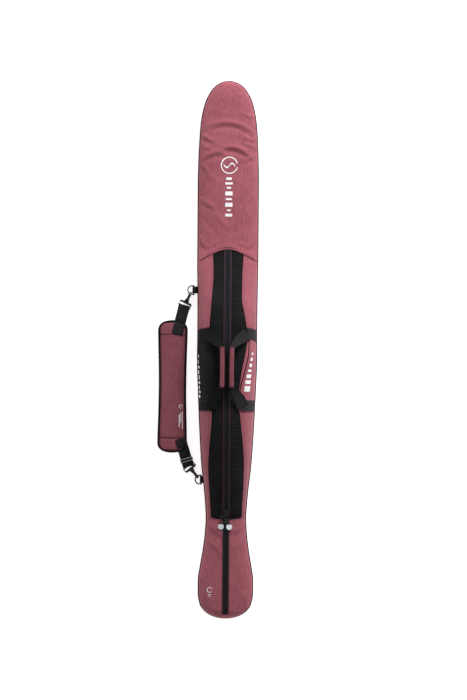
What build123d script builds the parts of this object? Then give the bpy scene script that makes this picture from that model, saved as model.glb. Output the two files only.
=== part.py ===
from build123d import *
from math import asin, atan2, cos, degrees, radians, sin, sqrt, tan
import os

# A padded bag for one slalom water ski, lying on its back.
# Millimetres, +Z up, nose towards +Y, shoulder strap on the -X side.
# The origin is on the resting surface, on the bag's long centre line, at half length.

os.makedirs("parts", exist_ok=True)

# ---------------------------------------------------------------- bag body
seam_height = 26.0          # height of the perimeter seam and of its piping
fabric = 1.5                # outer cloth
foam_depth = 5.5            # closed-cell foam behind it
lining = 1.0                # inner cloth
mesh_gap = 0.5              # air between the mesh window and the panels below it
mesh_thick = 1.5
piping_wide = 3.0
piping_high = 5.0
half_length = 881.0

# zipper line over the bulge: one circular arc, so a slider can follow it
zip_radius = 964.0
zip_mid_y = -112.0
bulge_top = 172.0
zip_pivot_z = bulge_top - zip_radius
tail_top = 66.0             # level of the straight tail zipper


def arc_height(y):
    """Height of the bag's top line where it follows the zipper arc."""
    return zip_pivot_z + sqrt(zip_radius ** 2 - (y - zip_mid_y) ** 2)


# plan outline of the shell, half of it: tail end, hips, waist, long side, rounded nose
side_half = 96.5
waist_point = (62.5, -557.0)
hip_point = (87.5, -785.0)
side_start_y = -50.0
tail_radius = 105.0
tail_turn = 33.0
nose_radius = 50.0
nose_flank_radius = 150.0
nose_turn = 50.0
nose_lean = 4.65
wall_taper = 12.0           # the walls lean inwards above the seam
floor_taper = 30.0          # and below it


def between(a, b, share):
    """Point part of the way from a to b."""
    return (a[0] + (b[0] - a[0]) * share, a[1] + (b[1] - a[1]) * share)


def body_outline():
    """Plan outline of the bag at its seam, from arcs that run smoothly into each other."""
    tail_y = -half_length
    turn = radians(tail_turn)
    tail_corner = (tail_radius * sin(turn), tail_y + tail_radius * (1 - cos(turn)))
    tip_centre_y = half_length - nose_radius
    flank_turn = radians(nose_turn)
    lean = radians(nose_lean)
    tip_join = (nose_radius * cos(flank_turn), tip_centre_y + nose_radius * sin(flank_turn))
    flank_x = (nose_radius - nose_flank_radius) * cos(flank_turn)
    flank_y = tip_centre_y + (nose_radius - nose_flank_radius) * sin(flank_turn)
    flank_start = (flank_x + nose_flank_radius * cos(lean), flank_y + nose_flank_radius * sin(lean))
    side_end = (side_half, flank_start[1] - (side_half - flank_start[0]) / tan(lean / 2))
    hip_middle = between(hip_point, waist_point, 0.5)
    side_first = between(waist_point, (side_half, side_start_y), 0.1815)
    with BuildSketch() as plan:
        with BuildLine():
            tail_arc = TangentArc((0, tail_y), tail_corner, tangent=(1, 0))
            hip_arc = TangentArc(tail_corner, hip_point, tangent=tail_arc % 1)
            upper_hip = TangentArc(hip_point, hip_middle, tangent=(0, 1))
            TangentArc(hip_middle, waist_point, tangent=upper_hip % 1)
            waist_arc = TangentArc(waist_point, side_first, tangent=(0, 1))
            TangentArc(side_first, (side_half, side_start_y), tangent=waist_arc % 1)
            Line((side_half, side_start_y), side_end)
            shoulder = TangentArc(side_end, flank_start, tangent=(0, 1))
            flank = TangentArc(flank_start, tip_join, tangent=shoulder % 1)
            TangentArc(tip_join, (0, half_length), tangent=flank % 1)
            mirror(about=Plane.YZ)
        make_face()
    return plan.sketch


def grown_outline(grow):
    """The plan outline, larger or smaller all round."""
    if grow == 0:
        return body_outline()
    return offset(body_outline(), grow, mode=Mode.PRIVATE)


# the bag's top line seen from the side, nose and tail ends rounded down
nose_seam_z = 66.0
nose_mid_y = 700.0
nose_mid_z = 56.0
nose_tip_z = 40.0
tail_round_y = -862.0
tail_tip_z = 52.0


def side_profile(inset):
    """Prism across the bag below its top line, inset from the outer surface."""
    radius = zip_radius - inset
    low_y = zip_mid_y - sqrt(radius ** 2 - (tail_top - inset - zip_pivot_z) ** 2)
    high_y = zip_mid_y + sqrt(radius ** 2 - (nose_seam_z - inset - zip_pivot_z) ** 2)
    reach_y = half_length + 20
    with BuildPart() as prism:
        with BuildSketch(Plane.YZ.offset(-side_reach)):
            with BuildLine():
                ThreePointArc(
                    (low_y, tail_top - inset),
                    (zip_mid_y, bulge_top - inset),
                    (high_y, nose_seam_z - inset),
                )
                Polyline((high_y, nose_seam_z - inset), (nose_mid_y, nose_mid_z - inset),
                         (half_length, nose_tip_z - inset), (reach_y, nose_tip_z - inset), (reach_y, inset),
                         (-reach_y, inset), (-reach_y, tail_tip_z - inset), (-half_length, tail_tip_z - inset),
                         (tail_round_y, tail_top - inset), (low_y, tail_top - inset))
            make_face()
        extrude(amount=2 * side_reach)
    return prism.part


def cross_profile(inset):
    """Prism along the bag: walls that lean inwards above the seam and tuck in below it."""
    wide = side_half - inset
    high = bulge_top + 10.0
    top_half = wide - (high - seam_height) * tan(radians(wall_taper))
    foot_half = wide - seam_height * tan(radians(floor_taper))
    with BuildPart() as prism:
        with BuildSketch(Plane.XZ.offset(-half_length - 10)):
            with BuildLine():
                Polyline((foot_half, 0), (wide, seam_height), (top_half, high), (-top_half, high),
                         (-wide, seam_height), (-foot_half, 0), close=True)
            make_face()
        extrude(amount=2 * half_length + 20)
    return prism.part


def envelope(inset):
    """The whole bag as one solid, inset from its outer surface."""
    plan = grown_outline(-inset)
    with BuildPart() as body:
        with BuildSketch(Plane.XY.offset(inset)):
            add(plan)
        extrude(amount=tall_enough - 20)
    return body.part & side_profile(inset) & cross_profile(inset)


side_reach = 130.0
tall_enough = 260.0
outer = envelope(0.0)
under_fabric = envelope(fabric)
under_foam = envelope(fabric + foam_depth)
cavity = envelope(fabric + foam_depth + lining)


def keep(part, label):
    """Name a finished piece and write it out."""
    part.label = label
    export_step(part, f"parts/{label}.step")


# ---------------------------------------------------------------- seams seen from above
window_half = [(-552.0, 53.0), (-380.0, 59.0), (-270.0, 54.0), (-170.0, 46.0),
               (-60.0, 54.0), (50.0, 59.0), (170.0, 49.0), (313.0, 52.0)]
window_apex_y = 328.0       # nose seam on the centre line
window_foot_y = -558.0      # waist seam on the centre line
nose_seam_edge_y = 259.0    # nose seam at the sides, beyond the bag's edge
lap = 3.0                   # the mesh laps this far over the panels on each side
flap_start_y = -516.0       # the moving halves of the window end short of the parked sliders
flap_end_y = 295.0
tape_outer = 12.0


def window_sketch(grow):
    """Plan outline of the mesh window, grown by a margin."""
    right = [(x + grow, y) for y, x in window_half]
    left = [(-x, y) for x, y in right]
    with BuildSketch() as plan:
        with BuildLine():
            Spline(*right)
            ThreePointArc(right[-1], (0, window_apex_y + grow), left[-1])
            Spline(*left[::-1])
            ThreePointArc(left[0], (0, window_foot_y - grow), right[0])
        make_face()
    return plan.sketch


def column(sketch, low=-5.0, high=tall_enough):
    """A plan outline raised to a tall solid, for cutting."""
    with BuildPart() as tall:
        add(sketch)
        extrude(amount=high - low)
    return tall.part.translate((0, 0, low))


def block(x0, x1, y0, y1, z0, z1):
    """A box between two corners."""
    with BuildPart() as box:
        with Locations(((x0 + x1) / 2, (y0 + y1) / 2, (z0 + z1) / 2)):
            Box(x1 - x0, y1 - y0, z1 - z0)
    return box.part


def nose_region(gap):
    """Everything ahead of the curved nose seam."""
    with BuildSketch() as plan:
        with BuildLine():
            seam = ThreePointArc(
                (-side_reach, nose_seam_edge_y + gap),
                (0, window_apex_y + gap),
                (side_reach, nose_seam_edge_y + gap),
            )
            Polyline(seam @ 1, (side_reach, half_length + 30), (-side_reach, half_length + 30), seam @ 0)
        make_face()
    return column(plan.sketch)


above_seam = block(-side_reach, side_reach, -900, 900, seam_height, tall_enough)
below_seam = block(-side_reach, side_reach, -900, 900, -5, seam_height)
tail_slot_half = 8.5
tail_slot_end_y = -866.0
window_opening = column(window_sketch(-lap)) + block(
    -tail_slot_half, tail_slot_half, tail_slot_end_y, window_foot_y + 20, 40, tall_enough
)
nose_column = nose_region(0.0)
left_side = block(-side_reach, 0, -900, 900, -5, tall_enough)
right_side = block(0, side_reach, -900, 900, -5, tall_enough)

skin = outer - under_fabric
foam = under_fabric - under_foam

with BuildPart() as back_panel:
    add(skin & below_seam)
with BuildPart() as back_foam:
    add(foam & below_seam)
with BuildPart() as inner_lining:
    add(under_foam - cavity - window_opening)

upper_skin = (skin & above_seam) - window_opening
upper_foam = (foam & above_seam) - window_opening
with BuildPart() as nose_cover:
    add(upper_skin & nose_column)
with BuildPart() as nose_foam:
    add(upper_foam & nose_column)
side_skin = upper_skin - nose_column
side_foam = upper_foam - nose_column
with BuildPart() as side_panel_left:
    add(side_skin & left_side)
with BuildPart() as side_panel_right:
    add(side_skin & right_side)
with BuildPart() as side_foam_left:
    add(side_foam & left_side)
with BuildPart() as side_foam_right:
    add(side_foam & right_side)

# ---------------------------------------------------------------- D-ring places
ring_wire = 2.2
ring_bend = 14.3            # centre-line radius of the bow
ring_leg = 5.5
ring_height = seam_height
upper_bar = (-111.0, 195.0, ring_height)
lower_bar = (-82.0, -427.0, ring_height)
upper_tab_root_x = -92.0    # tabs are sewn in up to here
lower_tab_root_x = -68.0
tab_wide = 20.0
tab_web = 1.5
tab_bore = ring_wire + 0.35
line_x = upper_bar[0] - lower_bar[0]
line_y = upper_bar[1] - lower_bar[1]
line_long = sqrt(line_x ** 2 + line_y ** 2)
along_line = (line_x / line_long, line_y / line_long, 0)
outward = (-along_line[1], along_line[0], 0)


def ring_plane(bar):
    """Local frame at a D-ring's bar: x outward, y along the line through both bars."""
    return Plane(origin=bar, x_dir=outward, z_dir=(0, 0, 1))


def tab(bar, inner_x):
    """Webbing tab folded round the D-ring's bar and sewn into the side seam."""
    reach = abs(bar[0] - inner_x)
    section = Plane(origin=bar, x_dir=outward, z_dir=along_line)
    with BuildPart() as web:
        with BuildSketch(section.offset(-tab_wide / 2)):
            Circle(tab_bore + tab_web)
            with Locations((-reach / 2, 0)):
                Rectangle(reach, 2 * (tab_bore + tab_web) - 1.0)
            Circle(tab_bore, mode=Mode.SUBTRACT)
        extrude(amount=tab_wide)
    return web.part


def d_ring(bar):
    """Steel D-ring: a straight bar and a bow."""
    frame = ring_plane(bar)
    with BuildPart() as ring:
        with BuildLine(frame) as bow:
            Line((0, -ring_bend), (ring_leg, -ring_bend))
            ThreePointArc((ring_leg, -ring_bend), (ring_leg + ring_bend, 0), (ring_leg, ring_bend))
            Line((ring_leg, ring_bend), (0, ring_bend))
        with BuildSketch(Plane(origin=bow.line @ 0, z_dir=bow.line % 0)):
            Circle(ring_wire)
        sweep()
        with BuildSketch(Plane(origin=bow.line @ 0, z_dir=frame.y_dir)):
            Circle(ring_wire)
        extrude(amount=2 * ring_bend)
        with Locations(bow.line @ 0, bow.line @ 1):
            Sphere(ring_wire)
    return ring.part


with BuildPart() as d_ring_upper:
    add(d_ring(upper_bar))
with BuildPart() as d_ring_lower:
    add(d_ring(lower_bar))
with BuildPart() as d_ring_tab_upper:
    add(tab(upper_bar, upper_tab_root_x) - outer)
with BuildPart() as d_ring_tab_lower:
    add(tab(lower_bar, lower_tab_root_x) - outer)
with BuildPart() as piping:
    add(envelope(-piping_wide) & block(-side_reach, side_reach, -900, 900,
                                       seam_height - piping_high / 2, seam_height + piping_high / 2))
    add(outer, mode=Mode.SUBTRACT)
    add(tab(upper_bar, upper_tab_root_x), mode=Mode.SUBTRACT)
    add(tab(lower_bar, lower_tab_root_x), mode=Mode.SUBTRACT)

# ---------------------------------------------------------------- webbing bands on the side walls
band_thick = 1.9
band_inner_gap = 13.0
band_upper_y = (26.0, 62.0)
band_lower_y = (-202.0, -165.0)
band_layer = (envelope(-band_thick) - outer) - column(window_sketch(lap + band_inner_gap))
band_layer = band_layer & block(-side_reach, side_reach, -900, 900,
                                seam_height + piping_high / 2, tall_enough)


def band(limits, side):
    """One band of webbing sewn down the side wall."""
    x_limits = (-side_reach, 0) if side < 0 else (0, side_reach)
    return band_layer & block(*x_limits, limits[0], limits[1], 0, tall_enough)


with BuildPart() as band_upper_left:
    add(band(band_upper_y, -1))
with BuildPart() as band_upper_right:
    add(band(band_upper_y, 1))
with BuildPart() as band_lower_left:
    add(band(band_lower_y, -1))
with BuildPart() as band_lower_right:
    add(band(band_lower_y, 1))

# ---------------------------------------------------------------- mesh window
mesh_layer = envelope(-mesh_gap - mesh_thick) - envelope(-mesh_gap)
mesh_layer = mesh_layer & column(window_sketch(lap)) & above_seam
mesh_layer = mesh_layer - block(-tape_outer, tape_outer, -900, 900, -5, tall_enough)
joint_gap = 1.0
with BuildPart() as mesh_left:
    add(mesh_layer & block(-side_reach, 0, flap_start_y, flap_end_y, -5, tall_enough))
with BuildPart() as mesh_right:
    add(mesh_layer & block(0, side_reach, flap_start_y, flap_end_y, -5, tall_enough))
with BuildPart() as mesh_end_nose:
    add(mesh_layer & block(-side_reach, side_reach, flap_end_y + joint_gap, 340, -5, tall_enough))
with BuildPart() as mesh_end_waist:
    add(mesh_layer & block(-side_reach, side_reach, -570, flap_start_y - joint_gap, -5, tall_enough))

# ---------------------------------------------------------------- zippers
tape_low = mesh_gap
tape_high = mesh_gap + mesh_thick
coil_inner = 1.2
coil_outer = 3.4
coil_low = -0.3
coil_high = 2.8


def arc_angle(y):
    """Angle along the zipper arc, in degrees from its summit, positive towards the nose."""
    return degrees(asin((y - zip_mid_y) / zip_radius))


def arc_plane(y):
    """Local frame on the zipper arc: x across, z away from the bag."""
    turn = radians(arc_angle(y))
    origin = (0, y, zip_pivot_z + zip_radius * cos(turn))
    return Plane(origin=origin, x_dir=(1, 0, 0), z_dir=(0, sin(turn), cos(turn)))


pivot_axis = Axis((0, zip_mid_y, zip_pivot_z), (1, 0, 0))


def arc_strip(x0, x1, low, high, y0, y1):
    """A strip of rectangular section that follows the zipper arc."""
    start = arc_plane(y0)
    section = Plane(origin=start.origin, x_dir=(1, 0, 0), z_dir=(0, -cos(radians(arc_angle(y0))),
                                                                  sin(radians(arc_angle(y0)))))
    with BuildPart() as strip:
        with BuildSketch(section):
            with Locations(((x0 + x1) / 2, (low + high) / 2)):
                Rectangle(x1 - x0, high - low)
        revolve(axis=pivot_axis, revolution_arc=-(arc_angle(y1) - arc_angle(y0)))
    return strip.part


def tape_and_coil(side, y0, y1):
    """Tape and coil of one half of the window zipper, as two solids."""
    tape_x = sorted((side * coil_outer, side * tape_outer))
    coil_x = sorted((side * coil_inner, side * coil_outer))
    return arc_strip(*tape_x, tape_low, tape_high, y0, y1), arc_strip(*coil_x, coil_low, coil_high, y0, y1)


tape_l, coil_l = tape_and_coil(-1, flap_start_y, flap_end_y)
tape_r, coil_r = tape_and_coil(1, flap_start_y, flap_end_y)
with BuildPart() as zip_tape_left:
    add(tape_l)
with BuildPart() as zip_coil_left:
    add(coil_l)
with BuildPart() as zip_tape_right:
    add(tape_r)
with BuildPart() as zip_coil_right:
    add(coil_r)

nose_stub_end_y = window_apex_y - 3.5
waist_stub_end_y = -545.0
with BuildPart() as zip_stub_nose:
    for side in (-1, 1):
        for piece in tape_and_coil(side, flap_end_y + joint_gap, nose_stub_end_y):
            add(piece)
with BuildPart() as zip_stub_waist:
    for side in (-1, 1):
        for piece in tape_and_coil(side, waist_stub_end_y, flap_start_y - joint_gap):
            add(piece)

tail_zip_start_y = -547.0
tail_zip_end_y = -862.0


def tail_strip(side, x0, x1, low, high):
    """One straight strip of the tail zipper."""
    xs = sorted((side * x0, side * x1))
    return block(*xs, tail_zip_end_y, tail_zip_start_y, tail_top + low, tail_top + high)


with BuildPart() as tail_tape_left:
    add(tail_strip(-1, coil_outer, tape_outer, tape_low, tape_high))
with BuildPart() as tail_tape_right:
    add(tail_strip(1, coil_outer, tape_outer, tape_low, tape_high))
with BuildPart() as tail_coil_left:
    add(tail_strip(-1, coil_inner, coil_outer, coil_low, coil_high))
with BuildPart() as tail_coil_right:
    add(tail_strip(1, coil_inner, coil_outer, coil_low, coil_high))

# ---------------------------------------------------------------- sliders, stems and discs
slider_half = 6.2
slider_long = 22.0
plate = 1.6
under_plate = -1.0          # top of the lower plate
over_plate = 3.3            # underside of the upper plate
rail = 1.1
crown_bar_low = 8.4
crown_bar_high = 9.8
crown_wide = 3.0
crown_post = 2.0
crown_inset = 2.5           # crown's posts stand this far in from the plate's ends
wedge_wide = 1.4
wedge_long = 6.0
rail_low_high = 1.0
rail_top_high = 0.8
stem_bar = 0.9
stem_thick = 1.8
stem_wide = 4.0
stem_arm_x = 3.2
stem_arm_long = 10.6
stem_bridge = 2.6
stem_bar_height = 6.9
nose_slider_y = -531.0
tail_slider_y = -559.0
disc_radius = 9.6
disc_thick = 3.0


def slider(frame, wedge_y):
    """Zipper slider: two plates round the chain, a wedge between them, a crown for the pull."""
    post_y = slider_long / 2 - crown_inset - crown_post / 2
    post_high = crown_bar_high - over_plate - plate
    post_z = (over_plate + plate + crown_bar_high) / 2
    solids = [
        (0, 0, (under_plate - plate / 2), 2 * slider_half, slider_long, plate),
        (0, 0, (over_plate + plate / 2), 2 * slider_half, slider_long, plate),
        (0, wedge_y, (under_plate + over_plate) / 2, wedge_wide, wedge_long, over_plate - under_plate),
        (0, post_y, post_z, crown_wide, crown_post, post_high),
        (0, -post_y, post_z, crown_wide, crown_post, post_high),
        (0, 0, (crown_bar_low + crown_bar_high) / 2, crown_wide, slider_long - 2 * crown_inset,
         crown_bar_high - crown_bar_low),
    ]
    for side in (-1, 1):
        x = side * (slider_half - rail / 2)
        solids.append((x, 0, under_plate + rail_low_high / 2, rail, slider_long, rail_low_high))
        solids.append((x, 0, over_plate - rail_top_high / 2, rail, slider_long, rail_top_high))
    with BuildPart() as body:
        for x, y, z, wide, long, high in solids:
            with Locations((x, y, z)):
                Box(wide, long, high)
    return frame * body.part


def stem(frame, side, offset_x, reach, drop):
    """Pull stem: a cross bar under the crown, two arms, then one offset strip."""
    arm_end = stem_arm_long + (stem_bridge - stem_thick) / 2 + 0.1
    with BuildPart() as pull:
        with Locations(Location((0, 0, 0), (0, 90, 0))):
            Cylinder(stem_bar, 2 * stem_arm_x + stem_thick)
        for end in (-1, 1):
            with Locations((end * stem_arm_x, -stem_arm_long / 2, 0)):
                Box(stem_thick, stem_arm_long + stem_thick, stem_thick)
        with Locations((side * offset_x / 2, -arm_end, 0)):
            Box(offset_x + 2 * stem_arm_x + stem_thick, stem_bridge, stem_thick)
        with Locations((side * offset_x, -(stem_arm_long + reach) / 2, 0)):
            Box(stem_wide, reach - stem_arm_long + stem_wide, stem_thick)
    return frame * Rot(drop, 0, 0) * pull.part


def disc(frame, side, offset_x, reach, drop):
    """Round plastic end of a pull, flat where the stem enters it."""
    with BuildPart() as round_end:
        with Locations((side * offset_x, -reach - disc_radius + 0.5, 0)):
            Cylinder(disc_radius, disc_thick)
        with Locations((side * offset_x, -reach + disc_radius - 1.5, 0)):
            Box(4 * disc_radius, 2 * disc_radius, 2 * disc_thick, mode=Mode.SUBTRACT)
        add(Pos(side * offset_x, -(9.0 + reach) / 2, 0) * Box(stem_wide, reach - 5.0, stem_thick, mode=Mode.PRIVATE),
            mode=Mode.SUBTRACT)
    return frame * Rot(drop, 0, 0) * round_end.part


nose_frame = arc_plane(nose_slider_y)
tail_frame = Plane(origin=(0, tail_slider_y, tail_top), x_dir=(1, 0, 0), z_dir=(0, 0, 1))
nose_hinge = nose_frame * Pos(0, 0, stem_bar_height)
tail_hinge = tail_frame * Pos(0, 0, stem_bar_height)
nose_pull = (nose_hinge, -1, 16.5, 37.0, -14.0)
tail_pull = (tail_hinge, 1, 11.0, 12.0, 0.0)
with BuildPart() as slider_nose:
    add(slider(nose_frame, 6.0))
with BuildPart() as slider_tail:
    add(slider(tail_frame, -6.0))
with BuildPart() as pull_stem_nose:
    add(stem(*nose_pull))
with BuildPart() as pull_stem_tail:
    add(stem(*tail_pull))
with BuildPart() as pull_disc_nose:
    add(disc(*nose_pull))
with BuildPart() as pull_disc_tail:
    add(disc(*tail_pull))

# crimped stops at both ends of the chains
stop_long = 3.0
stop_high = 1.0
with BuildPart() as zip_stops:
    stop_nose = arc_plane(nose_stub_end_y - stop_long / 2)
    stop_places = [
        stop_nose * Location((0, 0, coil_high + stop_high / 2)),
        Location((0, tail_zip_end_y + stop_long / 2, tail_top + coil_high + stop_high / 2)),
    ]
    with Locations(*stop_places):
        Box(2 * coil_outer, stop_long, stop_high)

# ---------------------------------------------------------------- carry handles
handle_clear = 28.0         # a slider and its pull pass below
grip_thick = 12.0
grip_x = (2.6, 29.0)
grip_y = (-122.0, 12.0)
web_thick = 2.0
core_clear = handle_clear + (grip_thick - web_thick) / 2
upper_anchor = (57.0, 44.0)
lower_anchor = (43.0, -184.0)
anchor_rise = 4.0           # handle webbing leaves the mesh this far above it
leg_wide = 30.0
leg_head_wide = 24.0
web_inset = 2.5             # webbing is narrower than the sleeve on each side
web_run = 13.0              # straight run beyond each end of the sleeve


def mesh_height(y):
    """Height of the mesh's outer face."""
    return zip_pivot_z + sqrt((zip_radius + mesh_gap + mesh_thick) ** 2 - (y - zip_mid_y) ** 2)


def leg(side, anchor, grip_end_y, pull_y):
    """Flat webbing from its anchor at the mesh edge up to one end of the grip."""
    x, y = anchor
    foot_z = mesh_height(y) + anchor_rise
    centre_x = (grip_x[0] + grip_x[1]) / 2
    top = arc_plane(grip_end_y).origin.Z + core_clear + web_thick / 2
    foot = Vector(side * x, y, foot_z)
    head = Vector(side * centre_x, grip_end_y + pull_y, top)
    with BuildPart() as strip:
        for at, wide in ((foot, leg_wide), (head, leg_head_wide)):
            with BuildSketch(Plane(origin=at, x_dir=(0, 1, 0), z_dir=(-side, 0, 0.6))):
                Rectangle(wide, web_thick)
        loft(ruled=True)
    return strip.part


def handle_web(side):
    """One webbing loop: two legs and the stretch that runs through the grip."""
    xs = sorted((side * (grip_x[0] + web_inset), side * (grip_x[1] - web_inset)))
    core = arc_strip(*xs, core_clear, core_clear + web_thick, grip_y[0] - web_run, grip_y[1] + web_run)
    upper = leg(side, upper_anchor, grip_y[1], 2.0)
    lower = leg(side, lower_anchor, grip_y[0], -2.0)
    return core + upper + lower


def handle_grip(side):
    """Padded sleeve round the webbing."""
    xs = sorted((side * grip_x[0], side * grip_x[1]))
    with BuildPart() as sleeve:
        add(arc_strip(*xs, handle_clear, handle_clear + grip_thick, *grip_y))
        fillet(sleeve.edges().filter_by(GeomType.CIRCLE), grip_thick * 0.42)
    return sleeve.part


web_l = handle_web(-1)
web_r = handle_web(1)
with BuildPart() as handle_web_left:
    add(web_l)
with BuildPart() as handle_web_right:
    add(web_r)
with BuildPart() as handle_grip_left:
    add(handle_grip(-1) - web_l)
with BuildPart() as handle_grip_right:
    add(handle_grip(1) - web_r)

# ---------------------------------------------------------------- snap hooks and their webbing loops
hook_tilt = 22.0            # the hooks slope from the rings down to the floor
claw_half = 4.5
claw_outer = 11.0
claw_inner = 7.4
claw_offset = 3.9           # from the ring's wire to the centre of the claw's bend
claw_far = 11.0             # far end of the claw's opening
claw_back = 13.0            # and of its outer shape
gate_pivot = (17.5, 8.6)
gate_centre = (11.2, 8.3)
gate_long = 12.4
gate_thick = 2.6
gate_boss = 1.6
gate_side_gap = 1.2
mouth_centre = (11.9, 9.5)
mouth_long = 14.8
mouth_deep = 8.0
post_start = 23.0
post_long = 8.5
post_head = 1.6             # the post's head is this much larger and this thick
post_radius = 3.2
socket_play = 0.35
socket_centre = 31.6
socket_box = (8.0, 16.0, 12.5)
loop_start = 30.0
loop_wide = 43.0
loop_deep = 15.5
loop_bar = 5.0
loop_thick = 6.0
loop_rail_x = 3.25
loop_rail_y = 2.5
loop_outer_bar_x = loop_start + loop_bar + loop_deep - 2.6
upper_lean = degrees(atan2(0.875, 0.485))
lower_lean = degrees(atan2(-0.797, 0.606))


def hook_plane(bar, lean):
    """Local frame of a snap hook: origin on the ring's wire, x towards the strap."""
    base = ring_plane(bar)
    turn = radians(lean)
    along = base.x_dir * cos(turn) + base.y_dir * sin(turn)
    origin = base.origin + base.x_dir * ring_leg + along * ring_bend
    level = along * cos(radians(hook_tilt)) - Vector(0, 0, sin(radians(hook_tilt)))
    across = Vector(0, 0, 1).cross(along)
    return Plane(origin=origin, x_dir=level, z_dir=level.cross(across))


def hook_body():
    """Claw of the snap hook and its swivel post; local x towards the strap, z up."""
    with BuildPart() as hook:
        with BuildSketch(Plane.XZ.offset(-claw_half)):
            with Locations(((claw_offset + claw_back) / 2, 0)):
                SlotCenterToCenter(claw_back - claw_offset, 2 * claw_outer)
            with Locations(((claw_offset + claw_far) / 2, 0)):
                SlotCenterToCenter(claw_far - claw_offset, 2 * claw_inner, mode=Mode.SUBTRACT)
            with Locations(mouth_centre):
                Rectangle(mouth_long, mouth_deep, mode=Mode.SUBTRACT)
        extrude(amount=2 * claw_half)
        with BuildSketch(Plane.YZ.offset(post_start)):
            Circle(post_radius)
        extrude(amount=post_long)
        with BuildSketch(Plane.YZ.offset(post_start + post_long)):
            Circle(post_radius + post_head)
        extrude(amount=post_head)
    return hook.part


def hook_gate():
    """Plastic tongue that closes the claw."""
    with BuildPart() as gate:
        with BuildSketch(Plane.XZ.offset(-claw_half + gate_side_gap)):
            with Locations(gate_centre):
                Rectangle(gate_long, gate_thick)
            with Locations(gate_pivot):
                Circle(gate_boss)
        extrude(amount=2 * (claw_half - gate_side_gap))
    return gate.part


head_room = post_start + post_long - socket_play
socket_mouth = 26.0


def hook_loop():
    """Rectangular webbing loop with the socket that the swivel post turns in."""
    with BuildPart() as loop_frame:
        with Locations((loop_start + loop_bar + loop_deep / 2 - 1.0, 0, 0)):
            Box(loop_deep, loop_wide, loop_thick)
            Box(loop_deep - 2 * loop_rail_x, loop_wide - 2 * loop_rail_y, loop_thick, mode=Mode.SUBTRACT)
        with Locations((socket_centre, 0, 0)):
            Box(*socket_box)
        with BuildSketch(Plane.YZ.offset(socket_mouth)):
            Circle(post_radius + socket_play)
        extrude(amount=head_room - socket_mouth + 0.05, mode=Mode.SUBTRACT)
        with BuildSketch(Plane.YZ.offset(head_room)):
            Circle(post_radius + post_head + socket_play)
        extrude(amount=post_head + 2 * socket_play, mode=Mode.SUBTRACT)
    return loop_frame.part


upper_hook = hook_plane(upper_bar, upper_lean)
lower_hook = hook_plane(lower_bar, lower_lean)
with BuildPart() as snap_hook_upper:
    add(upper_hook * hook_body())
with BuildPart() as snap_hook_lower:
    add(lower_hook * hook_body())
with BuildPart() as hook_gate_upper:
    add(upper_hook * hook_gate())
with BuildPart() as hook_gate_lower:
    add(lower_hook * hook_gate())
with BuildPart() as hook_loop_upper:
    add(upper_hook * hook_loop())
with BuildPart() as hook_loop_lower:
    add(lower_hook * hook_loop())

# ---------------------------------------------------------------- shoulder pad
pad_centre = (-179.0, -122.0)
pad_long = 436.0
pad_half = 49.0
pad_waist = 45.0
pad_corner = 34.0
pad_low = 0.6
pad_cloth = 1.4
pad_core = 10.0
binding_wide = 5.5


def pad_outline(inset):
    """Plan of the pad: long, slightly waisted, with rounded ends."""
    half_end = pad_half - inset
    waist = pad_waist - inset
    half_run = pad_long / 2 - inset
    corner = pad_corner - inset
    x, y = pad_centre
    with BuildSketch() as plan:
        with BuildLine():
            ThreePointArc((x + half_end, y - half_run + corner), (x + waist, y), (x + half_end, y + half_run - corner))
            ThreePointArc(
                (x + half_end, y + half_run - corner),
                (x + half_end - corner * 0.3, y + half_run - corner * 0.3),
                (x + half_end - corner, y + half_run),
            )
            Line((x + half_end - corner, y + half_run), (x - half_end + corner, y + half_run))
            ThreePointArc(
                (x - half_end + corner, y + half_run),
                (x - half_end + corner * 0.3, y + half_run - corner * 0.3),
                (x - half_end, y + half_run - corner),
            )
            ThreePointArc((x - half_end, y + half_run - corner), (x - waist, y), (x - half_end, y - half_run + corner))
            ThreePointArc(
                (x - half_end, y - half_run + corner),
                (x - half_end + corner * 0.3, y - half_run + corner * 0.3),
                (x - half_end + corner, y - half_run),
            )
            Line((x - half_end + corner, y - half_run), (x + half_end - corner, y - half_run))
            ThreePointArc(
                (x + half_end - corner, y - half_run),
                (x + half_end - corner * 0.3, y - half_run + corner * 0.3),
                (x + half_end, y - half_run + corner),
            )
        make_face()
    return plan.sketch


pad_top = pad_low + 2 * pad_cloth + pad_core
with BuildPart() as pad_back:
    add(column(pad_outline(binding_wide), pad_low, pad_low + pad_cloth))
with BuildPart() as pad_foam:
    add(column(pad_outline(binding_wide), pad_low + pad_cloth, pad_low + pad_cloth + pad_core))
with BuildPart() as pad_face:
    add(column(pad_outline(binding_wide), pad_low + pad_cloth + pad_core, pad_top))
with BuildPart() as pad_binding:
    add(column(pad_outline(0), pad_low, pad_top) - column(pad_outline(binding_wide), pad_low, pad_top))

# ---------------------------------------------------------------- strap webbing and adjuster
strap_wide = 37.0
strap_thick = 1.8
end_patch = 46.0            # webbing sewn down on the pad


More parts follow.
